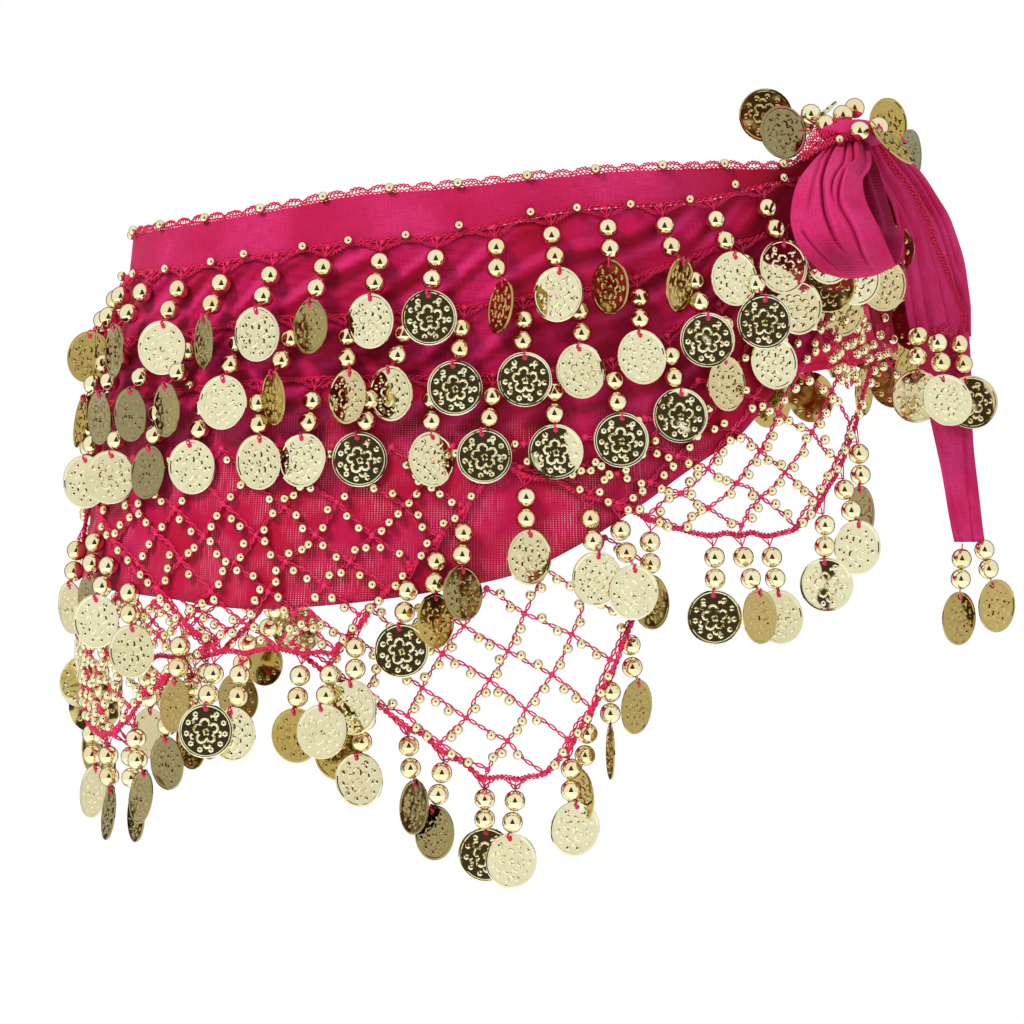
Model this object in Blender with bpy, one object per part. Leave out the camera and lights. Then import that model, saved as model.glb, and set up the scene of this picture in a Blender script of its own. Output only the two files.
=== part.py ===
"""Belly dance hip scarf, worn: a long cloth band tied at the wearer's left hip.

Metres, +Z up. The front faces -Y and the wearer's left is +X. The origin is the
middle of the hips at the height of the waistband. Places on the scarf are given by
a length `u` round the hips, from the knot over the front, and by a height.
"""

import math
from bisect import bisect_left
from collections import namedtuple

import bmesh
import bpy
from mathutils import Vector

MM = 0.001

# ---- driving sizes -------------------------------------------------------------
CLOTH = 1.2 * MM            # wall of the cloth
SEAM = 0.3 * MM             # pieces are parted by this at a seam
COIN_PITCH = 23.2 * MM      # from one coin to the next along a row
PITCH = COIN_PITCH / 2      # from one column of the cloth to the next
COLUMNS = 72                # columns from the knot round the hips and back to it
FRONT_END = 62              # degrees from the middle of the front to the knot
PANEL_ROWS = 4
EDGING = 3.2 * MM           # height of the crochet loops on the top edge

RING_HEIGHT = -100 * MM     # where lengths round the hips are measured
FOLD_DEPTH = 1.4 * MM       # gathers that run from the knot into the cloth
FOLD_LENGTH = 4 * PITCH     # from one gather to the next
FOLD_REACH = 150 * MM       # how far from the knot they run out
FOLD_SLANT = 170 * MM       # height in which a gather slants by its own length

LACE_INSIDE = 2.2 * MM      # inner face of the lace that lies on the cloth
LACE_WALL = 1.2 * MM
STRAND = 2.1 * MM           # half the width across a crossing of the net
CORD_HEIGHT = 2.4 * MM      # crochet cord that carries a row of coins

# ---- the wearer's figure: half sizes of level sections, in mm --------------------
Hips = namedtuple("Hips", "height half_width half_depth")
HIPS = (
    Hips(-270, 167, 113),
    Hips(-200, 168, 113),
    Hips(-154, 167, 112),
    Hips(-100, 161, 108),
    Hips(-60, 154, 104),
    Hips(-30, 149, 101),
    Hips(0, 146, 98),
    Hips(30, 142.5, 95),
)

# ---- heights of the scarf's lines round the hips, in degrees and mm --------------
Lines = namedtuple("Lines", "angle top row_1 row_2 row_3 net hem")
LINES = (
    Lines(-296, 23.3, 8, -10, -27, -38, -54),
    Lines(-284, 19, 3, -15, -32, -43, -58),
    Lines(-250, 10, -7, -25, -42, -54, -64),
    Lines(-210, 3, -16, -34, -51, -64, -72),
    Lines(-180, -3, -22, -40, -57, -73, -80),
    Lines(-160, -7, -25, -43, -61, -80, -88),
    Lines(-140, -10, -28, -48, -68, -89, -110),
    Lines(-120, -12, -30, -53, -76, -98, -132),
    Lines(-105, -12, -31, -56, -81, -104, -146),
    Lines(-90, -12, -32, -58, -83, -108, -153),
    Lines(-70, -11, -31, -57, -81, -105, -155),
    Lines(-52, -9, -30, -55, -78, -102, -158),
    Lines(-36, -5, -26, -51, -75, -100, -162),
    Lines(-22, 0, -22, -50, -74, -100, -160),
    Lines(-9, 2, -20, -48, -74, -100, -155),
    Lines(2, 5, -14, -44, -72, -99, -148),
    Lines(10, 7, -10, -41, -70, -97, -137),
    Lines(18, 9, -8, -36, -64, -91, -123),
    Lines(26, 10, -7, -30, -54, -78, -108),
    Lines(34, 11, -4, -23, -43, -64, -95),
    Lines(41, 11, 0, -19, -37, -53, -79),
    Lines(50, 13, 4, -13, -29, -42, -63),
    Lines(62, 23.3, 8, -9, -25, -36, -53),
    Lines(80, 23.3, 8, -9, -25, -36, -52),
)

# ---- one hanging coin: two beads and a coin on a thread, in mm ------------------
# drop below the cord, half its width, and its back and front off the cloth
Station = namedtuple("Station", "drop half back front")
BEAD_1 = Station(6.5, 3.6, 2.0, 8.0)
BEAD_2 = Station(14.5, 3.6, 3.2, 8.4)
COIN_TOP = Station(19.5, 2.6, 7.2, 8.4)
COIN_MIDDLE = Station(31, 9.8, 0, 1.2)
COIN_FOOT = Station(41, 4.4, 0.1, 1.3)

# ---- rows of coins: first and last column and the coins' height off the cloth ----
Row = namedtuple("Row", "name line first last lift")
ROWS = (
    Row("coin_row_1", "row_1", 2, 70, 11.4),
    Row("coin_row_2", "row_2", 3, 69, 9.8),
    Row("coin_row_3", "row_3", 4, 68, 5.0),
)

# ---- beaded nets: points of diamond cells that narrow downwards ------------------
# Column of the middle, cells in the top row, rows, first and last half cell kept, half
# a cell's width, height of the net's foot, and the lean of the point along the hem, in mm.
Net = namedtuple("Net", "name line column cells rows first last half_w foot lean")
NETS = (
    Net("net_over_1", "net", 6, 8, 6, -7, 8, 11.6, -131, 0.0),
    Net("net_over_2", "net", 22.3, 8, 6, -8, 8, 11.6, -176, -0.2),
    Net("net_over_3", "net", 38.4, 8, 6, -8, 8, 11.6, -182, 0.0),
    Net("net_hem_1", "hem", 15.2, 6, 5, -6, 6, 10.9, -221, -0.32),
    Net("net_hem_2", "hem", 29.6, 7, 6, -7, 7, 10.9, -207, -0.2),
)

# ---- the knot, its loop and its tails, in mm --------------------------------------
KNOT_MIDDLE = (138, -50, 25)
KNOT_HALF = (18, 11, 5.7)
KNOT_TURN = 56              # degrees from +X to the knot's long side

Leaf = namedtuple("Leaf", "height left_x left_y right_x right_y pleat")
LOOP = (
    Leaf(18.4, 127, -62, 142, -52, 0.5),
    Leaf(8, 117, -88, 150, -64, 1.8),
    Leaf(-8, 111, -99, 154, -66, 2.2),
    Leaf(-21, 110, -101, 155, -66, 2.0),
    Leaf(-31, 115, -99, 152, -67, 1.2),
    Leaf(-34, 119, -93, 149, -62, 0.6),
    Leaf(-27, 117, -89, 149, -57, 1.0),
    Leaf(-10, 117, -86, 148, -56, 1.4),
    Leaf(6, 121, -76, 146, -55, 1.0),
    Leaf(18.4, 130, -56, 142, -46, 0.4),
)
TAIL = (
    Leaf(18.4, 145, -43, 151, -38, 0.6),
    Leaf(8, 149, -46, 164, -32, 2.0),
    Leaf(-10, 156, -46, 176, -28, 2.6),
    Leaf(-32, 158, -46, 182, -26, 2.8),
    Leaf(-55, 160, -45, 184, -27, 2.4),
)
RIBBON = (
    Leaf(-55.3, 161, -44, 183.5, -28, 2.0),
    Leaf(-75, 164, -41, 184, -30, 1.0),
    Leaf(-100, 170, -38, 184.5, -32, 0.5),
    Leaf(-131, 176, -37, 189, -33, 0.4),
)

# Loose coins: where the thread starts, which way it runs, which way the coin faces,
# and how many of its two beads stand out of the folds.
Loose = namedtuple("Loose", "name start along facing beads")
LOOSE = (
    Loose("knot_coin_1", (122.7, -51.2, 25), (-0.96, 0.1, 0.25), (0.1, -1, 0.1), 1),
    Loose("knot_coin_2", (119.7, -57.0, 24), (-0.97, 0.2, -0.04), (0.3, -1, 0.2), 0),
    Loose("knot_coin_3", (124.2, -49.8, 29.6), (-0.12, 1, 0), (0.68, 0, -0.73), 0),
    Loose("knot_coin_4", (141.7, -30.0, 28.8), (0.75, 0.66, 0), (0.2, -1, 0.1), 0),
    Loose("knot_coin_5", (142.5, -65.1, 27), (0.6, -0.35, -0.72), (0.6, -1, 0.1), 0),
    Loose("knot_coin_6", (155.3, -38.4, 24), (0.35, 0.7, -0.6), (0.3, -1, 0), 0),
    Loose("tail_coin_1", (168, -49.5, -53), (0.16, -0.25, -1), (0, -1, -0.2), 2),
    Loose("tail_coin_2", (177, -36.0, -53), (0.22, -0.1, -1), (0.1, -1, 0), 2),
    Loose("tail_coin_3", (161.5, -50.5, -50), (-0.02, -0.02, -1), (-0.1, -1, 0), 2),
    Loose("ribbon_coin_1", (178, -36.4, -131.8), (0.02, -0.02, -1), (0.0, -1, 0), 2),
    Loose("ribbon_coin_2", (186.5, -34, -131.8), (0.3, 0.25, -1), (0.5, -1, 0), 2),
)
BEAD_STEP = 8                   # from one bead to the next along the thread
THREAD_ROOT = (0, 0.8, 0.8)     # run along the thread, half width, half depth
THREAD_BEAD = (6, 3.6, 3.2)
THREAD_COIN = ((10.5, 2.6, 0.7), (21.5, 9.8, 0.6), (31.5, 4.4, 0.6))   # after one bead

# ---- materials: base colour, roughness, metallic ---------------------------------
LOOKS = {
    "cloth": ((0.62, 0.012, 0.10), 0.75, 0.0),
    "crochet": ((0.60, 0.008, 0.07), 0.85, 0.0),
    "gold": ((0.86, 0.68, 0.30), 0.22, 1.0),
}


# ---- reading the tables -----------------------------------------------------------
def smooth(table, x, column):
    """A column of a table as a smooth curve over its first column."""
    rows = table
    i = min(max(sum(row[0] <= x for row in rows) - 1, 0), len(rows) - 2)
    x0, x1 = rows[i][0], rows[i + 1][0]
    value = [getattr(row, column) for row in rows]

    def slope(k):
        low, high = max(k - 1, 0), min(k + 1, len(rows) - 1)
        return (value[high] - value[low]) / (rows[high][0] - rows[low][0])

    t = min(max((x - x0) / (x1 - x0), 0), 1)
    h = x1 - x0
    return (
        value[i] * (2 * t**3 - 3 * t**2 + 1)
        + slope(i) * h * (t**3 - 2 * t**2 + t)
        + value[i + 1] * (3 * t**2 - 2 * t**3)
        + slope(i + 1) * h * (t**3 - t**2)
    )


def hips(height):
    return [smooth(HIPS, height / MM, name) * MM for name in ("half_width", "half_depth")]


def ring_table():
    """Lengths and angles round the hips, in steps of half a degree."""
    wide, deep = hips(RING_HEIGHT)
    lengths, angles, length = [], [], 0.0
    for step in range(800):
        angle = math.radians(FRONT_END + 30 - step / 2)
        lengths.append(length)
        angles.append(angle)
        length += math.hypot(wide * math.cos(angle), deep * math.sin(angle)) * math.radians(0.5)
    start = lengths[60]
    return [value - start for value in lengths], angles


RING_LENGTHS, RING_ANGLES = ring_table()


def angle_at(u):
    """Angle from the middle of the front, in radians, at a length round the hips."""
    i = min(max(bisect_left(RING_LENGTHS, u), 1), len(RING_LENGTHS) - 1)
    u0, u1 = RING_LENGTHS[i - 1], RING_LENGTHS[i]
    share = (u - u0) / (u1 - u0)
    return RING_ANGLES[i - 1] + (RING_ANGLES[i] - RING_ANGLES[i - 1]) * share


def line(u, name):
    """Height of one of the scarf's lines at a length round the hips."""
    return smooth(LINES, math.degrees(angle_at(u)), name) * MM


def fold(u, height):
    """Gathers near the knot, outwards from the figure."""
    from_knot = min(max(u, 0), max(COLUMNS * PITCH - u, 0))
    fade = max(0.0, 1 - from_knot / FOLD_REACH)
    turn = 2 * math.pi * (u / FOLD_LENGTH + height / FOLD_SLANT)
    return FOLD_DEPTH * fade * fade * (3 - 2 * fade) * math.cos(turn)


def place(u, height, out):
    """A point of the scarf: length round the hips, height and distance off the figure."""
    wide, deep = hips(height)
    angle = angle_at(u)
    normal = Vector((math.sin(angle) / wide, -math.cos(angle) / deep, 0)).normalized()
    point = Vector((wide * math.sin(angle), -deep * math.cos(angle), height))
    return point + normal * (out + fold(u, height))


# ---- making objects ----------------------------------------------------------------
def material(name):
    colour, roughness, metallic = LOOKS[name]
    made = bpy.data.materials.get(name) or bpy.data.materials.new(name)
    made.use_nodes = True
    shader = made.node_tree.nodes["Principled BSDF"]
    shader.inputs["Base Color"].default_value = (*colour, 1)
    shader.inputs["Roughness"].default_value = roughness
    shader.inputs["Metallic"].default_value = metallic
    return made


def finish(name, bm, look):
    """Turn a bmesh into a named object with its faces pointing out."""
    bmesh.ops.recalc_face_normals(bm, faces=bm.faces)
    mesh = bpy.data.meshes.new(name)
    bm.to_mesh(mesh)
    bm.free()
    mesh.materials.append(material(look))
    made = bpy.data.objects.new(name, mesh)
    bpy.context.collection.objects.link(made)
    return made


def thicken(bm, inner_points):
    """Close a sheet into a wall: its copy is moved to the inner points."""
    outer = list(bm.verts)
    places = dict(zip((tuple(v.co) for v in outer), inner_points))
    made = bmesh.ops.extrude_face_region(bm, geom=list(bm.faces), use_keep_orig=True)
    for item in made["geom"]:
        if isinstance(item, bmesh.types.BMVert):
            item.co = places[tuple(item.co)]


def sheet(name, rows, inner_rows, look):
    """A wall through rows of outer points and rows of inner points."""
    bm = bmesh.new()
    grid = [[bm.verts.new(point) for point in row] for row in rows]
    for above, below in zip(grid, grid[1:]):
        for i in range(len(above) - 1):
            bm.faces.new((above[i], above[i + 1], below[i + 1], below[i]))
    thicken(bm, [point for row in inner_rows for point in row])
    return finish(name, bm, look)


def grow(bm, root, stations):
    """Extrude a root face through stations, each with a point for each corner."""
    face = root
    for points in stations:
        face = bmesh.ops.extrude_discrete_faces(bm, faces=[face])["faces"][0]
        for vert, point in zip(face.verts, points):
            vert.co = point


# ---- cloth --------------------------------------------------------------------------
def wrapped(name, look, first, last, heights):
    """Cloth round the hips between two columns, through heights given per column."""
    def rows(out):
        columns = [k * PITCH for k in range(first, last + 1)]
        return [[place(u, h, out) for u, h in zip(columns, hs)]
                for hs in zip(*(heights(u) for u in columns))]
    return sheet(name, rows(CLOTH), rows(0), look)


def build_cloth():
    def band(u):
        return line(u, "top") - EDGING - SEAM, line(u, "row_1") + SEAM / 2

    def panel(u):
        top, hem = line(u, "row_1") - SEAM / 2, line(u, "hem")
        return [top + (hem - top) * k / PANEL_ROWS for k in range(PANEL_ROWS + 1)]

    wrapped("waistband", "cloth", 0, COLUMNS, band)
    wrapped("cloth_panel", "cloth", 0, COLUMNS, panel)
    path = [(k * PITCH, line(k * PITCH, "top")) for k in range(2, COLUMNS - 1)]
    cord("crochet_edging", "crochet", path, 0, [False] * len(path), None, EDGING)


# ---- crochet cords with coins ----------------------------------------------------------
def cord(name, look, path, out, hangs, stations, tall=CORD_HEIGHT):
    """A three-sided cord along a path of (u, height), with a strand where it hangs."""
    bm = bmesh.new()
    new = bm.verts.new
    ends = []
    for k, (u, h) in enumerate(path):
        low = h - tall
        top = new(place(u, h, out + 0.5 * MM))
        inner = new(place(u, low, out))
        if hangs[k]:
            left, right = (new(place(u + side * 1.4 * MM, low, out + 1.4 * MM)) for side in (-1, 1))
        else:
            left = right = new(place(u, low, out + 1.4 * MM))
        ends.append((top, inner, left, right))
    for a, b in zip(ends, ends[1:]):
        bm.faces.new((a[0], a[3], b[2], b[0]))      # outer side
        bm.faces.new((a[1], a[0], b[0], b[1]))      # inner side
        bm.faces.new((a[3], a[1], b[1], b[2]))      # underside
    for top, inner, left, right in (ends[0], ends[-1]):
        bm.faces.new((top, left, inner))
    for (top, inner, left, right), (u, h) in zip(ends, path):
        if left is not right:
            bm.faces.new((top, left, right))
            root = bm.faces.new((left, right, inner))
            grow(bm, root, stations(u, h))
    return finish(name, bm, look)


def strand(u, h, lift, shift):
    """Corner points of a hanging coin's stations, left, right and back."""
    points = []
    for station in (BEAD_1, BEAD_2, COIN_TOP, COIN_MIDDLE, COIN_FOOT):
        on_coin = station in (COIN_MIDDLE, COIN_FOOT)
        low = h - CORD_HEIGHT - station.drop * MM
        back = (station.back + (lift if on_coin else shift)) * MM
        front = (station.front + (lift if on_coin else shift)) * MM
        half = station.half * MM
        middle = place(u, low, front)
        side = (place(u + 1 * MM, low, front) - place(u - 1 * MM, low, front)).normalized()
        points.append((middle - side * half, middle + side * half, place(u, low, back)))
    return points


def build_rows():
    for row in ROWS:
        columns = range(row.first - 1, row.last + 2)
        path = [(k * PITCH, line(k * PITCH, row.line) + CORD_HEIGHT / 2) for k in columns]
        hangs = [(k - row.first) % 2 == 0 for k in columns]
        cord(row.name, "gold", path, 2.0 * MM, hangs,
             lambda u, h, lift=row.lift: strand(u, h, lift, 0))


# ---- beaded nets -------------------------------------------------------------------------
def net_row(net, u):
    """Height of one half cell of a net at a length round the hips."""
    return (line(u, net.line) - net.foot * MM) / (net.rows + 1)


def on_net(net, m, depth, out):
    """A point of a net: half cells along the line, half cells down, height off."""
    u0 = net.column * PITCH + m * net.half_w * MM
    drop = depth * net_row(net, u0) + (STRAND + SEAM if net.line == "hem" else 0)
    return u0 + net.lean * drop, line(u0, net.line) - drop, out


def net_cells(net):
    """Middles of a net's cells, in half cells along and down."""
    cells = []
    for row in range(1, net.rows + 1):
        count = net.cells - row + 1
        for k in range(count):
            m = 2 * k - (count - 1)
            if m - 1 >= net.first and m + 1 <= net.last:
                cells.append((m, row))
    return cells


def build_net(net):
    """Crossings and strands round each cell as one thin cut wall."""
    inside = LACE_INSIDE if net.line == "net" else 0
    links = set()
    for m, d in net_cells(net):
        top, right, foot, left = (m, d - 1), (m + 1, d), (m, d + 1), (m - 1, d)
        links |= {(top, right), (top, left), (left, foot), (right, foot)}
    crossings = sorted({end for link in links for end in link})

    def linked(a, b):
        return (a, b) in links or (b, a) in links

    reach_w = STRAND / (net.half_w * MM)
    sides = {"n": (0, -1), "e": (1, 0), "s": (0, 1), "w": (-1, 0)}
    bm = bmesh.new()
    corner, inner = {}, []
    for m, d in crossings:
        reach_h = STRAND / net_row(net, net.column * PITCH + m * net.half_w * MM)
        for name, (dm, dd) in sides.items():
            ends = [(m + dm + dd * s, d + dd + dm * s) for s in (-1, 1)]
            bare = not any(linked((m, d), end) for end in ends)
            reach = 0.12 if bare and dm else 1.0
            spot = (m + dm * reach_w * reach, d + dd * reach_h * reach)
            corner[m, d, name] = bm.verts.new(place(*on_net(net, *spot, inside + LACE_WALL)))
            inner.append(place(*on_net(net, *spot, inside)))
    for m, d in crossings:
        bm.faces.new([corner[m, d, name] for name in "nesw"])
    for (m0, d0), (m1, d1) in sorted(links):
        near, far = ("e", "w") if m1 > m0 else ("w", "e")
        bm.faces.new((corner[m0, d0, near], corner[m1, d1, "n"],
                      corner[m1, d1, far], corner[m0, d0, "s"]))
    thicken(bm, inner)
    finish(net.name, bm, "crochet")


def build_net_fringe(net):
    """The cord along a net's lower edge, with its coins."""
    over = net.line == "net"
    lowest = net.rows + 1

    def edge(m):
        return min(lowest, net.cells + 1 - abs(m))

    ends = [m + (0.1 if m == -net.cells else -0.1 if m == net.cells else 0)
            for m in range(net.first, net.last + 1)]
    path, hangs = [], []
    for k, m in enumerate(ends):
        u = net.column * PITCH + m * net.half_w * MM
        below = (STRAND + 1.0 * MM) / net_row(net, u)
        path.append(on_net(net, m, edge(m) + below, 0)[:2])
        odd = (net.first + k) % 2 == 1
        hangs.append((odd if over else not odd) and 0 < k < len(ends) - 1)
    out = LACE_INSIDE if over else 0.1 * MM
    lift, shift = (5.4, 0.2) if over else (-3.0, -7.4)
    cord(net.name.replace("net", "fringe"), "gold", path, out, hangs,
         lambda u, h: strand(u, h, lift, shift))


# ---- knot, loop and tails ---------------------------------------------------------------
def build_knot():
    bm = bmesh.new()
    bmesh.ops.create_cube(bm, size=2)
    bmesh.ops.scale(bm, verts=bm.verts, vec=Vector(KNOT_HALF) * MM)
    bmesh.ops.bevel(bm, geom=bm.edges[:], offset=3.5 * MM, segments=2, profile=0.5,
                    affect="EDGES", clamp_overlap=True)
    made = finish("knot", bm, "cloth")
    made.location = Vector(KNOT_MIDDLE) * MM
    made.rotation_euler.z = math.radians(KNOT_TURN)


def pleated(name, leaves, across, waves):
    """Cloth that hangs through sections, pleated across its width."""
    def rows(out):
        made = []
        for leaf, before, after in zip(leaves, leaves[:1] + leaves[:-1], leaves[1:] + leaves[-1:]):
            left = Vector((leaf.left_x, leaf.left_y, leaf.height))
            right = Vector((leaf.right_x, leaf.right_y, leaf.height))
            run = Vector((after.left_x + after.right_x - before.left_x - before.right_x,
                          after.left_y + after.right_y - before.left_y - before.right_y,
                          2 * (after.height - before.height)))
            normal = run.cross(right - left).normalized()
            row = []
            for k in range(across + 1):
                t = k / across
                wave = leaf.pleat * math.cos(2 * math.pi * waves * t)
                row.append((left.lerp(right, t) + normal * (wave + out)) * MM)
            made.append(row)
        return made
    return sheet(name, rows(0.6), rows(-0.6), "cloth")


def build_loose(coin):
    """One loose coin with its two beads, along its own direction."""
    along = Vector(coin.along).normalized()
    facing = Vector(coin.facing)
    facing = (facing - along * facing.dot(along)).normalized()
    side = along.cross(facing)
    start = Vector(coin.start)

    def corners(run, half, deep):
        middle = start + along * run
        return [(middle + side * half + facing * deep) * MM,
                (middle - side * half + facing * deep) * MM,
                (middle - facing * deep) * MM]

    beads = [(THREAD_BEAD[0] + k * BEAD_STEP, *THREAD_BEAD[1:]) for k in range(coin.beads)]
    on_coin = [(run + (coin.beads - 1) * BEAD_STEP, half, deep) for run, half, deep in THREAD_COIN]
    bm = bmesh.new()
    root = [bm.verts.new(point) for point in corners(*THREAD_ROOT)]
    grow(bm, bm.faces.new(root), [corners(*station) for station in beads + on_coin])
    bm.faces.new(root)
    finish(coin.name, bm, "gold")


def build():
    for old in list(bpy.data.objects):
        bpy.data.objects.remove(old, do_unlink=True)
    build_cloth()
    build_rows()
    for net in NETS:
        build_net(net)
        build_net_fringe(net)
    build_knot()
    pleated("bow_loop", LOOP, 14, 3.5)
    pleated("tail", TAIL, 12, 2.5)
    pleated("tail_ribbon", RIBBON, 6, 1.0)
    for coin in LOOSE:
        build_loose(coin)


build()
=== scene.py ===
"""Looks of a belly dance hip scarf, worn and tied in a knot at the left hip.

Metres, +Z up. The front faces -Y and the wearer's left is +X. Places on the scarf are
given by a length `u` round the hips, from the knot over the front, and by a height.
"""

from math import (atan2, ceil, copysign, cos, degrees, floor, hypot, pi, radians, sin,
                  sqrt, tan, tau)
import random
from collections import namedtuple

import bmesh
import bpy
import numpy as np
from bmesh import ops
from mathutils import Matrix, Vector


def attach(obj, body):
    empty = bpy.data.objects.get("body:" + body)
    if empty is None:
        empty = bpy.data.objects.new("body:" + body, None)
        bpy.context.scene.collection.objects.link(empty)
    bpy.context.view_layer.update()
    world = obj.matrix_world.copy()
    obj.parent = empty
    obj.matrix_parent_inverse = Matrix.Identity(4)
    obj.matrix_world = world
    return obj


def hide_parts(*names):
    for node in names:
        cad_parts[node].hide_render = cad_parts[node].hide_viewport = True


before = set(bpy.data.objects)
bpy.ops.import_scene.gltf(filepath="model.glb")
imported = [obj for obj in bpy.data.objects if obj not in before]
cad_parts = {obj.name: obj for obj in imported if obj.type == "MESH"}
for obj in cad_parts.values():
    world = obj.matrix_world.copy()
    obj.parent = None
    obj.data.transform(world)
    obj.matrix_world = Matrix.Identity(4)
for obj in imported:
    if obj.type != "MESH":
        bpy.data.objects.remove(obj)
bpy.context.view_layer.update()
dice = random.Random(11)

MM = 0.001

# ---- sizes shared with the solids ----
SEAM = 0.3 * MM
PITCH = 11.6 * MM
COLUMNS = 72
FRONT_END = 62
EDGING = 3.2 * MM
RING_HEIGHT = -100 * MM
FOLD_DEPTH = 1.4 * MM
FOLD_LENGTH = 4 * PITCH
FOLD_REACH = 150 * MM
FOLD_SLANT = 170 * MM
CLOTH_OUT = 0.75 * MM       # from the figure to the middle of the cloth
CLOTH_THICK = 0.6 * MM
LACE_INSIDE = 2.2 * MM
STRAND = 2.1 * MM
CORD_HEIGHT = 2.4 * MM

Hips = namedtuple("Hips", "height half_width half_depth")
HIPS = [Hips(*row) for row in (
    (-270, 167, 113), (-200, 168, 113), (-154, 167, 112), (-100, 161, 108),
    (-60, 154, 104), (-30, 149, 101), (0, 146, 98), (30, 142.5, 95))]
Lines = namedtuple("Lines", "angle top row_1 row_2 row_3 net hem")
LINES = [Lines(*row) for row in (
    (-296, 23.3, 8, -10, -27, -38, -54), (-284, 19, 3, -15, -32, -43, -58),
    (-250, 10, -7, -25, -42, -54, -64), (-210, 3, -16, -34, -51, -64, -72),
    (-180, -3, -22, -40, -57, -73, -80), (-160, -7, -25, -43, -61, -80, -88),
    (-140, -10, -28, -48, -68, -89, -110), (-120, -12, -30, -53, -76, -98, -132),
    (-105, -12, -31, -56, -81, -104, -146), (-90, -12, -32, -58, -83, -108, -153),
    (-70, -11, -31, -57, -81, -105, -155), (-52, -9, -30, -55, -78, -102, -158),
    (-36, -5, -26, -51, -75, -100, -162), (-22, 0, -22, -50, -74, -100, -160),
    (-9, 2, -20, -48, -74, -100, -155), (2, 5, -14, -44, -72, -99, -148),
    (10, 7, -10, -41, -70, -97, -137), (18, 9, -8, -36, -64, -91, -123),
    (26, 10, -7, -30, -54, -78, -108), (34, 11, -4, -23, -43, -64, -95),
    (41, 11, 0, -19, -37, -53, -79), (50, 13, 4, -13, -29, -42, -63),
    (62, 23.3, 8, -9, -25, -36, -53), (80, 23.3, 8, -9, -25, -36, -52))]
Net = namedtuple("Net", "name line column cells rows first last half_w foot lean")
NETS = (
    Net("net_over_1", "net", 6, 8, 6, -7, 8, 11.6, -131, 0),
    Net("net_over_2", "net", 22.3, 8, 6, -8, 8, 11.6, -176, -0.2),
    Net("net_over_3", "net", 38.4, 8, 6, -8, 8, 11.6, -182, 0),
    Net("net_hem_1", "hem", 15.2, 6, 5, -6, 6, 10.9, -221, -0.32),
    Net("net_hem_2", "hem", 29.6, 7, 6, -7, 7, 10.9, -207, -0.2),
)

KNOT_MIDDLE = Vector((138, -50, 25)) * MM
KNOT_TURN = 56              # degrees from +X to the knot's long side

# Loose coins: where the thread starts, which way it runs, which way the coin faces,
# how many of its two beads stand out of the folds, and how deep a painted reflection its gold
# shows.
Loose = namedtuple("Loose", "name start along facing beads tint")
LOOSE = (
    Loose("knot_coin_1", (122.7, -51.2, 25), (-0.96, 0.1, 0.25), (0.3, -1, -0.3), 1, 0.9),
    Loose("knot_coin_2", (119.7, -57, 24), (-0.85, -0.5, -0.1), (0.5, -0.86, 0.1), 0, 1.8),
    Loose("knot_coin_3", (124.2, -49.8, 29.6), (-0.12, 1, 0), (0.68, 0, -0.73), 0, 0.2),
    Loose("knot_coin_4", (141.7, -30, 28.8), (0.75, 0.66, 0), (0.06, -1, 0), 0, 1),
    Loose("knot_coin_5", (142.5, -65.1, 27), (0.6, -0.35, -0.72), (1, -0.55, 0.2), 0, 1.1),
    Loose("knot_coin_6", (155.3, -38.4, 24), (0.35, 0.7, -0.6), (0.9, -0.5, 0), 0, 2),
    Loose("tail_coin_1", (168, -49.5, -53), (0.16, -0.25, -1), (0.42, -1, -0.1), 2, 0),
    Loose("tail_coin_2", (177, -36, -53), (0.22, -0.1, -1), (0.1, -1, 0), 2, 0.5),
    Loose("tail_coin_3", (161.5, -50.5, -50), (-0.02, -0.02, -1), (-0.5, -1, 0), 2, 0.4),
    Loose("ribbon_coin_1", (180, -36.4, -137.2), (-0.05, -0.02, -1), (1.1, -1, 0), 2, 1.2),
    Loose("ribbon_coin_2", (187.6, -34, -134), (0.24, 0.25, -1), (0.9, -1, 0), 2, 0.9),
)

KNOT_BEADS = (      # x, y, z in mm and size of the beads sewn round the knot
    (119.3, -56, 30.3, 1), (124.8, -59, 25.8, 1), (131.8, -55, 30, 1),
    (136.8, -48, 33.2, 1), (137.6, -67, 22.9, 1), (145.3, -62, 24.9, 1),
    (129.8, -68, 19.4, 0.48),
)
UNDER_BOW = (       # coins that show past the bow: middle in mm, facing and painted reflection
    ((136.5, -62, -34), (0.45, -1, 0.1), 0), ((125.5, -68, -37), (0.1, -1, 0), 0.9),
    ((130.5, -60, -46), (0.5, -1, 0.2), 0.6), ((147.5, -55, -36), (0.55, -1, -0.2), 0.5),
    ((150, -42, -5), (0.75, -1, 0), 1), ((150.5, -45, -22), (-0.4, -1, 0), 0.9),
)

# ---- one hanging coin: drops below its cord and distances off the figure, in mm ----
BEAD_DROPS = (6.8, 15.0)
BEAD_OUT = 5.2
BEAD_RADIUS = 4.0
COIN_DROP = 29.6            # middle of the coin
COIN_RADIUS = 10.5
COIN_HOLE = 8.7             # from the coin's middle to its hole
SMALL_BEAD = 1.9            # radius of the beads on the nets
FRINGE_OVER = (5.2, 5.8)    # beads and coins of a fringe that lies on the cloth
FRINGE_HEM = (-2.2, -2.2)   # and of one that hangs free of it


# ---- chance, and reading the tables ----
def jitter(most):
    return dice.uniform(-most, most)


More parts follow.
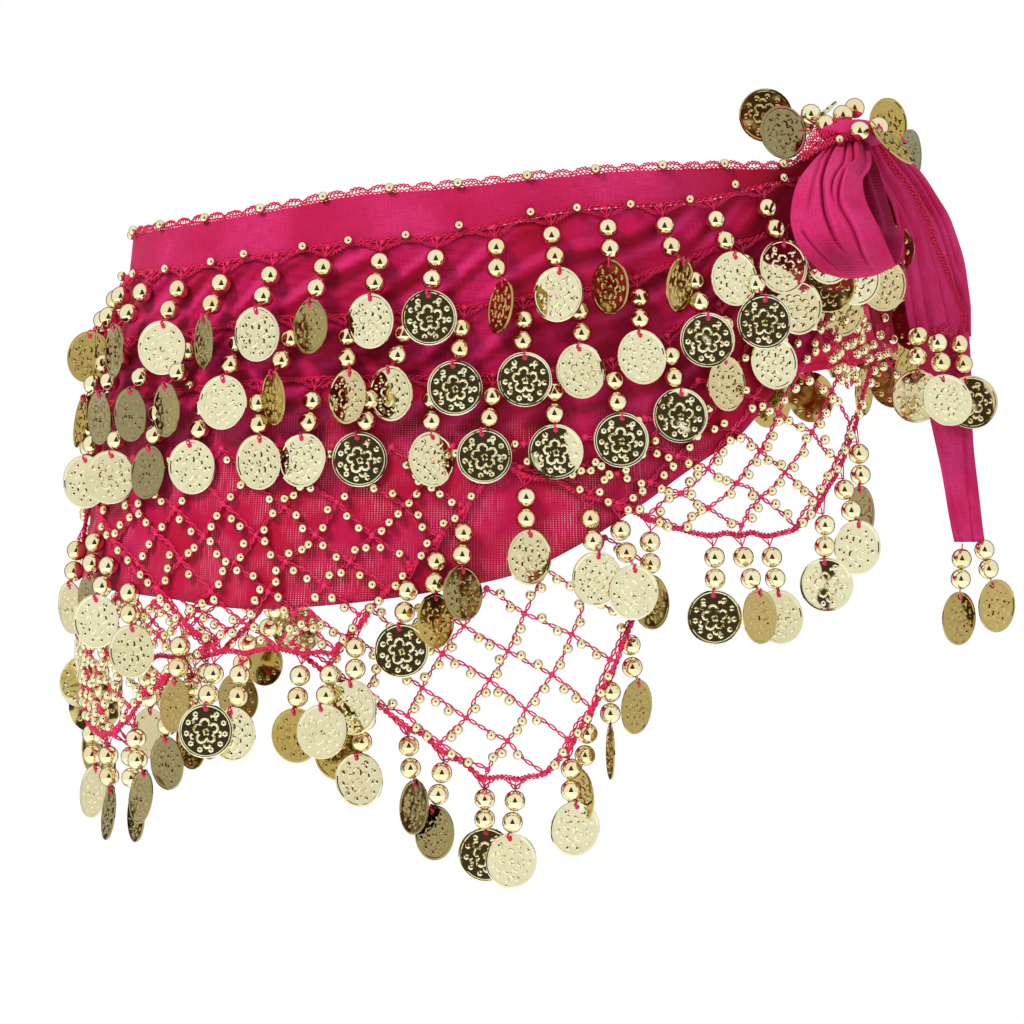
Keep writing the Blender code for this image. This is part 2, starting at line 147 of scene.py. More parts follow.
def smooth(table, x, column):
    """A column of a table as a smooth curve over its first column."""
    at_x = [row[0] for row in table]
    value = [getattr(row, column) for row in table]
    i = min(max(sum(known <= x for known in at_x) - 1, 0), len(table) - 2)
    h = at_x[i + 1] - at_x[i]
    t = min(max((x - at_x[i]) / h, 0), 1)

    def rise(k):
        low, high = max(k - 1, 0), min(k + 1, len(table) - 1)
        return (value[high] - value[low]) / (at_x[high] - at_x[low]) * h

    return (value[i] * (2 * t**3 - 3 * t**2 + 1) + rise(i) * (t**3 - 2 * t**2 + t)
            + value[i + 1] * (3 * t**2 - 2 * t**3) + rise(i + 1) * (t**3 - t**2))


HEIGHTS = np.linspace(HIPS[0].height, HIPS[-1].height, 301) * MM
HALF_WIDTHS = np.array([smooth(HIPS, h / MM, "half_width") for h in HEIGHTS]) * MM
HALF_DEPTHS = np.array([smooth(HIPS, h / MM, "half_depth") for h in HEIGHTS]) * MM


def ring_table():
    """Lengths and angles round the hips, in steps of half a degree."""
    wide = np.interp(RING_HEIGHT, HEIGHTS, HALF_WIDTHS)
    deep = np.interp(RING_HEIGHT, HEIGHTS, HALF_DEPTHS)
    lengths, angles, length = [], [], 0.0
    for step in range(800):
        angle = radians(FRONT_END + 30 - step / 2)
        lengths.append(length)
        angles.append(angle)
        length += hypot(wide * cos(angle), deep * sin(angle)) * radians(0.5)
    return np.array(lengths) - lengths[60], np.array(angles)


RING_LENGTHS, RING_ANGLES = ring_table()
LINE_HEIGHTS = {
    name: np.array([smooth(LINES, degrees(a), name) for a in RING_ANGLES]) * MM
    for name in Lines._fields[1:]
}


def line(u, name):
    """Height of one of the scarf's lines at a length round the hips."""
    return np.interp(u, RING_LENGTHS, LINE_HEIGHTS[name])


def fold(u, height):
    """Gathers near the knot, outwards from the figure."""
    from_knot = np.clip(np.minimum(u, COLUMNS * PITCH - u), 0, None)
    fade = np.clip(1 - from_knot / FOLD_REACH, 0, None)
    turn = 2 * pi * (u / FOLD_LENGTH + height / FOLD_SLANT)
    return FOLD_DEPTH * fade * fade * (3 - 2 * fade) * np.cos(turn)


def place(u, height, out):
    """Points of the scarf: length round the hips, height and distance off the figure."""
    u, height, out = np.broadcast_arrays(*(np.asarray(x, float) for x in (u, height, out)))
    wide = np.interp(height, HEIGHTS, HALF_WIDTHS)
    deep = np.interp(height, HEIGHTS, HALF_DEPTHS)
    angle = np.interp(u, RING_LENGTHS, RING_ANGLES)
    normal = np.stack([np.sin(angle) / wide, -np.cos(angle) / deep, 0 * angle], -1)
    normal /= np.linalg.norm(normal, axis=-1, keepdims=True)
    point = np.stack([wide * np.sin(angle), -deep * np.cos(angle), height], -1)
    return point + normal * (out + fold(u, height))[..., None]


def spot(u, height, out):
    return Vector(place(u, height, out))


def outward(u, height):
    """Unit direction off the figure."""
    return (spot(u, height, 1 * MM) - spot(u, height, 0)).normalized()


# ---- joined meshes ----
def keep(obj, slot_name, *nodes):
    """Attach a finished piece to the root body and hide the solids it stands for; its finish,
    `slot_name`, is not used.
    """
    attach(obj, "root")
    if nodes:
        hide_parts(*nodes)
    return obj


def link(name, mesh, *materials):
    obj = bpy.data.objects.new(name, mesh)
    bpy.context.collection.objects.link(obj)
    for item in materials:
        mesh.materials.append(item)
    return obj


def unit_of(bm):
    """Corner places and triangles of a small shape that is copied many times."""
    ops.recalc_face_normals(bm, faces=bm.faces)
    ops.triangulate(bm, faces=bm.faces)
    bm.verts.index_update()
    verts = np.array([v.co[:] for v in bm.verts])
    faces = np.array([[v.index for v in f.verts] for f in bm.faces])
    bm.free()
    return verts, faces


def fill(data, name, values, kind=np.float32):
    data.foreach_set(name, np.asarray(values, kind).ravel())


def joined(name, groups, materials, sharp=None):
    """One mesh of copies: groups of (unit, matrices, material index, values of the gold's random
    tone and painted reflection).
    """
    points, triangles, slots, tones_and_reflections, start = [], [], [], [], 0
    for (verts, faces), matrices, index, tint in groups:
        m = np.array([np.array(x) for x in matrices])
        copies = np.einsum("nij,vj->nvi", m[:, :3, :3], verts) + m[:, None, :3, 3]
        offsets = start + np.arange(len(m)) * len(verts)
        points.append(copies.reshape(-1, 3))
        triangles.append((faces + offsets[:, None, None]).reshape(-1, 3))
        slots.append(np.full(len(m) * len(faces), index))
        tones_and_reflections.append(np.repeat(tint, len(verts)))
        start += len(m) * len(verts)
    triangles = np.concatenate(triangles)
    mesh = bpy.data.meshes.new(name)
    mesh.vertices.add(start)
    mesh.loops.add(triangles.size)
    mesh.polygons.add(len(triangles))
    fill(mesh.vertices, "co", np.concatenate(points))
    fill(mesh.loops, "vertex_index", triangles, np.int32)
    fill(mesh.polygons, "loop_start", np.arange(0, triangles.size, 3), np.int32)
    fill(mesh.polygons, "material_index", np.concatenate(slots), np.int32)
    mesh.update(calc_edges=True)
    fill(mesh.attributes.new("tint", "FLOAT", "POINT").data, "value", np.concatenate(tones_and_reflections))
    mesh.shade_smooth()
    if sharp:
        mesh.set_sharp_from_angle(angle=radians(sharp))
    return link(name, mesh, *materials)


def along(start, end, off):
    """Matrix that lays a unit of length 1 from start to end, its +Z turned to `off`."""
    x = Vector(end) - Vector(start)
    z = Vector(off) - x * (Vector(off).dot(x) / x.dot(x))
    z.normalize()
    y = z.cross(x).normalized()
    m = Matrix((x, y, z)).transposed().to_4x4()
    m.translation = start
    return m


def at(middle, scale, turn=None):
    """Matrix of a unit at a place, with its own size and turn."""
    m = (turn or Matrix.Identity(3)).to_4x4() @ Matrix.Scale(scale, 4)
    m.translation = middle
    return m


def facing(middle, up, off, twist=0.0):
    """Matrix of a flat unit: its +Z to `off` turned about `up`, its +Y to `up`."""
    y = Vector(up).normalized()
    z = (Vector(off) - y * Vector(off).dot(y)).normalized()
    z = Matrix.Rotation(twist, 3, y) @ z
    m = Matrix((y.cross(z), y, z)).transposed().to_4x4()
    m.translation = middle
    return m


# ---- units ----
def grown(bm, face, first):
    """The new end of a face that is drawn out; the old one stays only as the first cap."""
    made = ops.extrude_face_region(bm, geom=[face])["geom"]
    if not first:
        ops.delete(bm, geom=[face], context="FACES_ONLY")
    return next(item for item in made if isinstance(item, bmesh.types.BMFace))


def tube(bm, path, radius):
    """A closed thread through a path that runs roughly along +X."""
    ring = ops.create_circle(bm, cap_ends=True, segments=3, radius=radius,
                             matrix=Matrix.Rotation(pi / 2, 4, "Y"))["verts"]
    ops.translate(bm, verts=ring, vec=path[0])
    face = ring[0].link_faces[0]
    for k, (before, after) in enumerate(zip(path, path[1:])):
        face = grown(bm, face, k == 0)
        ops.translate(bm, verts=face.verts, vec=after - before)


def thread_unit(radius, eyes=0, spread=0.0):
    """Thread of length 1, or a chain's two threads that cross between its eyes."""
    bm = bmesh.new()
    steps = 3 * eyes or 1
    for sign in (-1, 1) if eyes else (0,):
        turns = [pi * eyes * (k / steps) for k in range(steps + 1)]
        tube(bm, [Vector((k / steps, sign * spread * sin(turn),
                          sign * 0.35 * MM * cos(turn))) for k, turn in enumerate(turns)],
             radius)
    return unit_of(bm)


def ball_unit(radius, around, down, rough=0.0):
    """A bead, or where it is rough a clump of tight crochet stitches."""
    bm = bmesh.new()
    ops.create_uvsphere(bm, u_segments=around, v_segments=down, radius=radius)
    for v in bm.verts if rough else ():
        x, y, z = v.co
        v.co *= 1 + rough * sin(2600 * x + 1) * sin(2900 * y) * cos(2300 * z)
        v.co.z *= 0.75
    return unit_of(bm)


def ring_unit(radius, thick):
    """Thread loop through a coin's hole, in the XY plane."""
    bm = bmesh.new()
    section = ops.create_circle(bm, cap_ends=False, segments=3, radius=thick,
                                matrix=Matrix.Translation((radius, 0, 0))
                                @ Matrix.Rotation(pi / 2, 4, "X"))["verts"]
    ops.spin(bm, geom=list({e for v in section for e in v.link_edges}), cent=(0, 0, 0),
             axis=(0, 0, 1), dvec=(0, 0, 0), angle=tau, steps=8, use_merge=True,
             use_duplicate=False, space=Matrix.Identity(4))
    ops.remove_doubles(bm, verts=bm.verts, dist=1e-6)
    return unit_of(bm)


COIN_THICK = 0.4 * MM
COIN_DOTS = 11


def ridge(bm, path, half, height):
    """A raised line of the coin's stamping, through points of its face."""
    section = []
    for a, point, b in zip([path[0]] + path, path, path[1:] + [path[-1]]):
        run = (b - a).normalized()
        side = Vector((-run.y, run.x, 0)) * half
        top, foot = Vector((0, 0, height)), Vector((0, 0, -0.1 * MM))
        ring = [bm.verts.new(point + p) for p in (side + foot, top, foot - side)]
        if section:
            for i in range(3):
                bm.faces.new((section[i - 1], section[i], ring[i], ring[i - 1]))
        else:
            bm.faces.new(ring)
        section = ring
    bm.faces.new(section)


def curl(cx, cy, radius, start, turn, grow):
    """Points of an arc on the coin's face, in mm and degrees."""
    path = []
    steps = max(4, round(abs(turn) * radius / 70))
    for k in range(steps + 1):
        angle = radians(start + turn * k / steps)
        r = radius + grow * k / steps
        path.append(Vector(((cx + r * cos(angle)) * MM, (cy + r * sin(angle)) * MM, 0)))
    return path


COIN_CURLS = (      # middle x and y, radius, first angle, turn and growth of each scroll
    (0.2, -0.3, 0.8, 0, 320, 0.5), (-0.5, 2.9, 1.6, 215, -250, 0.2),
    (-3.1, 0.6, 1.3, 290, -230, 0.5), (-1.6, -2.9, 1.6, 0, -240, 0.3),
    (2, -2.7, 1.4, 70, -250, 0.3), (3, 1.2, 1.4, 145, -240, 0.5),
    (-3.8, 3.9, 0.9, 40, 190, 0.4), (2.8, 4.5, 1, 330, 170, 0.5),
    (5.1, -1.3, 0.7, 260, 190, 0.4), (0.4, -5.4, 0.9, 170, 190, 0.5),
    (-4.9, -2.2, 0.8, 100, 180, 0.5),
)


def coin_unit():
    """Stamped coin in the XY plane: raised rim, ring of dots, scrolls and a hole."""
    bm = bmesh.new()
    face_z, rim = COIN_THICK / 2, 0.28 * MM
    disc = ops.create_circle(bm, cap_ends=True, segments=32, radius=COIN_RADIUS * MM,
                             matrix=Matrix.Translation((0, 0, -face_z)))["verts"]
    face = disc[0].link_faces[0]
    steps = ((0, COIN_THICK + rim * 0.5), (-0.35, rim * 0.5), (-0.45, 0), (-0.35, -rim))
    for k, (inset, rise) in enumerate(steps):
        face = grown(bm, face, k == 0)
        size = face.verts[0].co.xy.length
        for v in face.verts:
            v.co.xy *= (size + inset * MM) / size
            v.co.z += rise
    before = set(bm.verts)
    for k in range(1, COIN_DOTS):
        angle = tau * k / COIN_DOTS + pi / 2
        middle = Vector((7.5 * cos(angle), 7.5 * sin(angle), 0.2)) * MM
        ops.create_cone(bm, cap_ends=True, segments=6, radius1=1.3 * MM, radius2=0.4 * MM,
                        depth=0.6 * MM, matrix=Matrix.Translation(middle))
    dots = [f for f in bm.faces if f.verts[0] not in before]
    copied = ops.duplicate(bm, geom=dots)["geom"]
    for scroll in COIN_CURLS:
        ridge(bm, curl(*scroll), 0.62 * MM, 0.42 * MM)
    relief = [v for v in bm.verts if v not in before]
    ops.translate(bm, verts=relief, vec=(0, 0, face_z))
    ops.scale(bm, verts=[g for g in copied if isinstance(g, bmesh.types.BMVert)],
              vec=(1, 1, -1))
    return unit_of(bm)


def eye_unit():
    """The thread that fills a coin's hole, in the XY plane of the coin."""
    bm = bmesh.new()
    ops.create_cone(bm, cap_ends=True, segments=6, radius1=1.05 * MM, radius2=1.05 * MM,
                    depth=COIN_THICK + 0.2 * MM)
    return unit_of(bm)


# ---- shaders ----
class Shader:
    """The nodes of a material or world being wired, by short calls that add and link them."""

    def __init__(self, owner):
        owner.use_nodes = True
        self.tree = owner.node_tree

    def feed(self, node, feeds):
        """Give a node's inputs their values, or the outputs that run into them."""
        for name, value in feeds.items():
            socket = node.inputs[name]
            if isinstance(value, bpy.types.NodeSocket):
                self.tree.links.new(value, socket)
            else:
                socket.default_value = (*value, 1) if socket.type == "RGBA" else value

    def node(self, kind, feeds=None, **settings):
        made = self.tree.nodes.new("ShaderNode" + kind)
        for name, value in settings.items():
            setattr(made, name, value)
        self.feed(made, feeds or {})
        return made

    def math(self, operation, a, b=0.0):
        return self.node("Math", {0: a, 1: b}, operation=operation).outputs[0]

    def times(self, a, b):
        return self.math("MULTIPLY", a, b)

    def noise(self, vector, scale, detail):
        feeds = {"Vector": vector, "Scale": scale, "Detail": detail}
        return self.node("TexNoise", feeds).outputs["Fac"]

    def mix(self, share, a, b):
        feeds = {"Factor": share, "A": a, "B": b}
        return self.node("Mix", feeds, data_type="RGBA").outputs["Result"]

    def ramp(self, value, low, high, to_low=0.0, to_high=1.0):
        feeds = {"Value": value, "From Min": low, "From Max": high, "To Min": to_low,
                 "To Max": to_high}
        return self.node("MapRange", feeds, clamp=True).outputs["Result"]

    def bump(self, height, strength, distance, below=None):
        """A bump's normal, over the normal of another bump if there is one below."""
        feeds = {"Height": height, "Strength": strength, "Distance": distance}
        if below is not None:
            feeds["Normal"] = below
        return self.node("Bump", feeds).outputs["Normal"]

    def attribute(self, name):
        return self.node("Attribute", attribute_name=name).outputs["Fac"]


def new_material(name):
    made = bpy.data.materials.new(name)
    return made, Shader(made), made.node_tree.nodes["Principled BSDF"]


def dim(colour, share):
    return tuple(c * share for c in colour)


THREADS_PER_METRE = 1400    # of the cloth


def weave(wire, lengths):
    """Height, slubs and open gaps of a plain weave over a UV map in metres."""
    split = wire.node("SeparateXYZ", {0: lengths}).outputs

    def threads(axis, per_metre):
        return wire.math("SINE", wire.times(split[axis], per_metre * tau))

    woven = [threads(axis, THREADS_PER_METRE) for axis in "XY"]
    height = wire.ramp(wire.times(*woven), -1.0, 1.0)
    slubs = []
    for stretch in ((160, 1700, 1), (1700, 160, 1)):
        scaled = wire.node("Mapping", {"Vector": lengths, "Scale": stretch})
        slubs.append(wire.noise(scaled.outputs["Vector"], 1.0, 1.0))
    gaps = wire.times(wire.ramp(threads("X", 930), 0.0, 0.9),
                      wire.ramp(threads("Y", 1230), -0.4, 0.9))
    patches = wire.ramp(wire.noise(lengths, 50.0, 2.0), 0.42, 0.64)
    uneven = wire.ramp(slubs[1], 0.30, 0.62)
    return height, wire.times(*slubs), wire.times(wire.times(gaps, patches), uneven)


def cloth_material(name, bright, deep, patch=28.0, sheer=0.0, bend=1.0, knot_shade=0.0):
    """Fine woven cloth: two tones in soft patches, thread slubs, weave and sheen.

    Painted shade darkens the troughs of its folds and painted light pales their ridges, `bend`
    times as much.
    `sheer` is how clearly light shows through the weave of its thin lower part, and
    `knot_shade` how much painted shade darkens it to crimson where it goes under the knot.
    """
    made, wire, skin = new_material(name)
    where = wire.node("TexCoord").outputs
    height, slubs, holes = weave(wire, where["UV"])
    cloud = wire.ramp(wire.noise(where["Object"], patch, 3.0), 0.38, 0.66)
    tone = wire.mix(cloud, deep, bright)
    tone = wire.mix(wire.times(wire.ramp(slubs, 0.16, 0.36), 0.4), tone, dim(deep, 0.7))
    hollow, turned = wire.attribute("hollow"), wire.attribute("deep")
    # Painted shade in the troughs, where the cloth bends in and where the "deep" attribute asks
    # for it; painted light on the ridges.
    trough_shade = wire.ramp(wire.times(hollow, bend), 0.08, 1.0)
    trough_shade = wire.math("MAXIMUM", trough_shade, turned)
    crest_light = wire.ramp(wire.times(hollow, -bend), 0.10, 1.2)
    tone = wire.mix(wire.times(trough_shade, 0.8), tone, dim(deep, 0.45))
    tone = wire.mix(wire.times(crest_light, 0.6), tone, CREST_PAINTED_LIGHT)
    # Painted shade: the cloth darkens to crimson near the knot, where it goes under it.
    if knot_shade:
        away = wire.node("VectorMath", {0: where["Object"], 1: KNOT_MIDDLE},
                         operation="DISTANCE").outputs["Value"]
        near = wire.ramp(away, 92 * MM, 56 * MM)
        tone = wire.mix(wire.times(near, knot_shade), tone, KNOT_SHADE_CRIMSON)
    down = wire.node("SeparateXYZ", {0: where["UV"]}).outputs["Y"]
    if sheer:
        low = wire.ramp(down, -0.078, -0.105)
        tone = wire.mix(wire.times(low, 0.45), tone, THIN_RED)
        light = wire.times(wire.times(holes, low), sheer)
        tone = wire.mix(light, tone, LIGHT_THROUGH)
    normal = wire.bump(height, 0.35, 0.15 * MM)
    normal = wire.bump(wire.noise(where["Object"], 260.0, 2.0), 0.5, 0.5 * MM, normal)
    ribs = wire.math("SINE", wire.times(down, tau / (1.25 * MM)))
    normal = wire.bump(wire.times(ribs, turned), 0.8, 0.5 * MM, normal)
    wire.feed(skin, {
        "Base Color": tone, "Normal": normal, "Roughness": 0.72, "Sheen Weight": 0.16,
        "Sheen Roughness": 0.4, "Sheen Tint": (1.0, 0.3, 0.5), "Specular IOR Level": 0.2})
    return made


def thread_material():
    """Mercerised crochet thread: plied, with painted shade in the depths of its ply."""
    made, wire, skin = new_material("crochet_thread")
    ply = wire.noise(wire.node("TexCoord").outputs["Object"], 1500.0, 1.0)
    # Painted shade: where the ply's bump sinks, its colour is darker.
    tone = wire.mix(wire.ramp(ply, 0.3, 0.7), (0.66, 0.006, 0.065), (0.98, 0.028, 0.16))
    wire.feed(skin, {
        "Base Color": tone, "Normal": wire.bump(ply, 0.6, 0.2 * MM), "Roughness": 0.6,
        "Sheen Weight": 0.15, "Sheen Tint": (1.0, 0.4, 0.6)})
    return made


def gold_material(name, pale, deep, spread, rim_reflection=0.0, wavy=0.0):
    """Gilt metal: pale, deeper and then olive as its attribute goes from 0 to 2, a random tone on
    beads and a painted reflection on coins; painted dark reflection on its rims.
    """
    made, wire, skin = new_material(name)
    where = wire.node("TexCoord").outputs["Object"]
    tint = wire.attribute("tint")
    dull = wire.ramp(wire.noise(where, 160.0, 1.0), 0.4, 0.7)
    # On coins this attribute is a painted reflection, deeper and then olive the further a coin
    # has turned; on beads it is a random tone.
    shade = wire.mix(tint, pale, deep)
    shade = wire.mix(wire.ramp(tint, 1.0, 2.0), shade, OLIVE_REFLECTION)
    shade = wire.mix(wire.times(dull, 0.08), shade, dim(deep, 0.6))
    # Painted dark reflection towards the rims, where the surface turns away from the camera.
    rim = wire.node("LayerWeight", {"Blend": 0.5}).outputs["Facing"]
    shade = wire.mix(wire.times(wire.ramp(rim, 0.5, 0.75), rim_reflection), shade, RIM_DARK_REFLECTION)
    rough = wire.ramp(tint, 0.0, 1.0, POLISH, POLISH + spread)
    wire.feed(skin, {"Base Color": shade, "Roughness": rough, "Metallic": 1.0})
    if wavy:
        wire.feed(skin, {"Normal": wire.bump(wire.noise(where, 95.0, 0.0), 1.0, wavy)})
    return made


POLISH = 0.05               # roughness of the palest gold
# painted light on the ridges of folds
CREST_PAINTED_LIGHT = (0.78, 0.04, 0.22)
# painted shade where the cloth goes under the knot
KNOT_SHADE_CRIMSON = (0.36, 0.002, 0.014)
THIN_RED = (0.52, 0.008, 0.045)
LIGHT_THROUGH = (1, 0.62, 0.74)
# painted reflection of the dark surroundings on turned coins
OLIVE_REFLECTION = (0.25, 0.225, 0.125)
# painted dark reflection on the rims of beads
RIM_DARK_REFLECTION = (0.16, 0.09, 0.02)
BAND_CLOTH = cloth_material("band_cloth", (0.65, 0.026, 0.145), (0.52, 0.01, 0.075),
                            knot_shade=0.85)
PANEL_CLOTH = cloth_material("panel_cloth", (0.64, 0.012, 0.13), (0.46, 0.003, 0.032),
                             sheer=0.9, knot_shade=0.5)
BOW_CLOTH = cloth_material("bow_cloth", (0.7, 0.04, 0.2), (0.58, 0.012, 0.1), 45,
                           bend=0.12)
THREAD = thread_material()
COIN_GOLD = gold_material("coin_gold", (0.86, 0.82, 0.55), (0.51, 0.375, 0.11), 0.06,
                          wavy=1.2 * MM)
BEAD_GOLD = gold_material("bead_gold", (0.95, 0.88, 0.58), (0.88, 0.72, 0.38), 0.03, rim_reflection=0.85)


# ---- cloth pieces ----
BEND = 30.0         # bends per metre that count as a full fold


def hollows(bm):
    """How sharply the cloth bends at each corner: above 0 in troughs, below on ridges."""
    bm.normal_update()
    found = []
    for v in bm.verts:
        rays = [e.other_vert(v).co - v.co for e in v.link_edges]
        reach = sum(ray.length for ray in rays) / len(rays)
        found.append(sum(rays, Vector()).dot(v.normal) / len(rays) / reach**2 / BEND)
    return np.array(found)


def mesh_of(name, bm, lengths=lambda corner: (0, 0)):
    """A smooth mesh with a UV map in metres, which `lengths` gives for a corner."""
    uv = bm.loops.layers.uv.new("weave")
    for face in bm.faces:
        face.smooth = True
        for corner in face.loops:
            corner[uv].uv = lengths(corner.vert)
    mesh = bpy.data.meshes.new(name)
    bm.to_mesh(mesh)
    bm.free()
    return mesh


def shell(name, columns, rows, where, thickness, look, shade=None):
    """A woven sheet: `where(s, t)` gives points and lengths along and down, from 0 to 1."""
    bm = bmesh.new()
    ops.create_grid(bm, x_segments=columns, y_segments=rows, size=0.5)
    flat = np.array([v.co[:] for v in bm.verts])
    s, t = flat[:, 0] + 0.5, 0.5 - flat[:, 1]
    points, lengths = where(s, t)
    for v, point in zip(bm.verts, points):
        v.co = point
    bend = hollows(bm)
    mesh = mesh_of(name, bm, lambda corner: lengths[corner.index])
    # "hollow" drives painted shade in troughs and painted light on ridges; "deep" carries painted
    # shade and places ribs.
    for label, values in (("hollow", bend), ("deep", shade(s, t) if shade else 0 * s)):
        fill(mesh.attributes.new(label, "FLOAT", "POINT").data, "value", values)
    made = link(name, mesh, look)
    wall = made.modifiers.new("wall", "SOLIDIFY")
    wall.thickness = thickness
    wall.offset = -1
    return made


CREASES = (         # of the panel: length round, height, degrees from upright, length,
    (45, -20, 60, 55, 5, -0.9), (70, -45, 48, 60, 6, 0.9),      # width and depth
    (96, -28, 66, 70, 7, -0.8), (120, -60, 55, 64, 6, -0.9), (150, -38, 72, 80, 7, 0.8),
    (168, -90, 50, 60, 8, -0.8), (205, -46, 76, 70, 6, -0.9), (232, -75, 60, 54, 7, 0.8),
    (262, -42, 80, 66, 7, -0.7), (300, -70, 62, 70, 6, -0.9), (330, -120, 74, 60, 8, 0.7),
    (352, -48, 58, 56, 6, -0.8), (390, -85, 66, 72, 8, -0.8), (432, -50, 78, 66, 7, 0.8),
    (468, -84, 58, 60, 7, -0.8), (510, -44, 70, 70, 6, -0.9), (556, -62, 64, 60, 7, 0.8),
    (602, -38, 74, 66, 7, -0.8), (650, -48, 62, 58, 6, -0.7), (700, -32, 76, 64, 7, 0.8),
    (748, -40, 60, 52, 6, -0.8), (790, -20, 66, 50, 6, -0.8),
)


def creased(u, height):
    """Relief of the creases, in metres."""
    total = 0 * u
    for at_u, at_height, slant, length, width, depth in CREASES:
        slant = radians(slant)
        du, dh = u / MM - at_u, height / MM - at_height
        run = du * sin(slant) - dh * cos(slant)
        off = du * cos(slant) + dh * sin(slant) + 3 * np.sin(run / 17)
        ends = np.clip(1 - (run / (0.5 * length)) ** 2, 0, 1)
        deep = depth * (2.4 if depth < 0 else 1.1)
        total = total + deep * np.exp(-(off / width) ** 2) * ends
    return total * MM


def ripple(u, height):
    """Low uneven waves all over the cloth, deeper under the nets."""
    a = np.sin(u / (23 * MM) + height / (31 * MM)) * np.sin(height / (19 * MM) - u / (57 * MM))
    b = np.sin(u / (9.5 * MM) + 1.3) * np.sin(height / (12 * MM) + u / (41 * MM))
    c = np.sin(u / (4.1 * MM) - height / (7 * MM)) * np.sin(height / (5.3 * MM) + u / (15 * MM))
    low = np.clip((-0.075 - height) / 0.02, 0, 1)
    return (0.22 * a + 0.1 * b + low * (0.35 * b + 0.22 * c)) * MM


def gathers(u, height):
    """Pleats that the crochet rows draw up between them, uneven round the hips."""
    rows = [line(u, name) for name in ("row_1", "row_2", "row_3", "net")]
    slack = 0 * u
    for above, below in zip(rows, rows[1:]):
        share = np.clip((above - height) / (above - below), 0, 1)
        slack += 4 * share * (1 - share)
    drift = 1.8 * np.sin(u / (43 * MM)) + 1.0 * np.sin(u / (17 * MM) + 2)
    turn = (0.85 * (height - rows[0]) + 0.5 * u) / (2.6 * MM) + drift
    wave = np.cos(turn) * 0.65 + np.cos(2 * turn + drift) * 0.2
    strong = 0.85 + 0.15 * np.sin(u / (31 * MM) + 0.6)
    return (wave - 0.35) * strong * slack * 1.3 * MM


def band_relief(u, height):
    over_row = height - line(u, "row_1") - SEAM / 2
    pull = 0.35 * MM * np.sin(u / (6.1 * MM)) * np.exp(-(over_row / (5 * MM)) ** 2)
    return ripple(u * 0.7, height * 0.5) + pull


def panel_relief(u, height):
    hem = 0.5 * MM * np.clip((6 * MM - height + line(u, "hem")) / (2.6 * MM), 0, 1)
    return creased(u, height) * 0.6 + ripple(u, height) + gathers(u, height) + hem


def round_sheet(name, shape, edges, relief, look, node):
    """A sheet round the hips between two lines, each with its shift."""
    def edge(which, u):
        return line(u, edges[which][0]) + edges[which][1]

    def where(s, t):
        u = s * COLUMNS * PITCH
        height = edge(0, u) + (edge(1, u) - edge(0, u)) * t
        return place(u, height, CLOTH_OUT + relief(u, height)), np.stack([u, height], -1)

    made = shell(name, *shape, where, CLOTH_THICK, look)
    lengths = np.linspace(0, COLUMNS * PITCH, 400)
    area = float(np.trapz(edge(0, lengths) - edge(1, lengths), lengths))
    keep(made, "cloth", node)


def curve_through(table, t):
    """Smooth interpolation of rows of numbers at places from 0 to 1."""
    values = np.asarray(table, float)
    x = np.clip(t, 0, 1) * (len(values) - 1)
    i = np.minimum(x.astype(int), len(values) - 2)
    f = (x - i)[:, None]
    a, b = values[np.maximum(i - 1, 0)], values[i]
    c, d = values[i + 1], values[np.minimum(i + 2, len(values) - 1)]
    return 0.5 * (2 * b + (c - a) * f + (2 * a - 5 * b + 4 * c - d) * f**2
                  + (3 * b - a - 3 * c + d) * f**3)


KNOT_BRAIDS = (      # the band's crochet edge, drawn over the left of the knot, in mm
    ((115, -63, 12.4), (121.5, -66, 16.4), (127.8, -67.5, 19.6), (132.5, -66.5, 20.6)),
    ((115.5, -62.5, 15), (120.5, -64.5, 19.6), (125.8, -65.5, 22.6), (131.5, -64, 25.4)),
    ((117.5, -61, 18), (120, -61.5, 21.8), (123.8, -62, 24.6), (129, -61, 27.4)),
)

BOW_EDGES = (       # left x, y, height, then right x, y, height, down the front and up behind
    (127.5, -58, 19.5, 142.2, -53, 20.5),
    (118, -78, 9.5, 141.6, -74, 9),
    (112, -90, 1, 137.6, -87, 2.5),
    (109.4, -96, -10, 138.4, -96, -6.5),
    (110.2, -99, -18.5, 143.3, -100, -17),
    (114.2, -98, -26.5, 147.6, -98, -26),
    (121.5, -94, -33, 150.4, -91, -30.5),
    (119.5, -88, -31, 152.6, -86, -25.4),
    (116, -86, -21, 153.6, -84, -17),
    (115, -80, -14, 151.6, -72, -15),
    (116, -74, -4, 149.6, -63, -6.5),
    (120, -66, 7, 146, -56, 7.6),
    (128, -54, 17, 143, -47, 17),
)
# Folds run down a hanging leaf: the shares of its length where one starts and ends, its
# places across, its width as a share, its depth in mm, and how far one side stands over.
BOW_FOLDS = (
    (0, 0.5, (0.55, 0.71, 0.69, 0.65, 0.7, 0.69, 0.7), 0.024, -1.9, 3),
    (0, 0.44, (0.2, 0.25, 0.36, 0.43, 0.44, 0.46, 0.56), 0.03, -2.4, 1.2),
    (0, 0.27, (0.4, 0.52, 0.57, 0.55, 0.58), 0.022, -1.3, 0.5),
    (0, 0.3, (0.06, 0.11, 0.22, 0.27, 0.25, 0.22), 0.04, -1.1, 0.5),
    (0.3, 0.5, (0.1, 0.2, 0.32), 0.03, -0.9, 0.3),
    (0, 0.2, (0.8, 0.88, 0.93, 0.95, 0.96), 0.05, -0.8, 0),
    (0.52, 1, (0.55, 0.6, 0.66, 0.62, 0.55), 0.05, -1.2, 0.4),
    (0.7, 1, (0.8, 0.84, 0.8, 0.7), 0.04, -1.4, 0),
    (0.55, 1, (0.25, 0.3, 0.28, 0.35), 0.06, -1.2, 0),
)
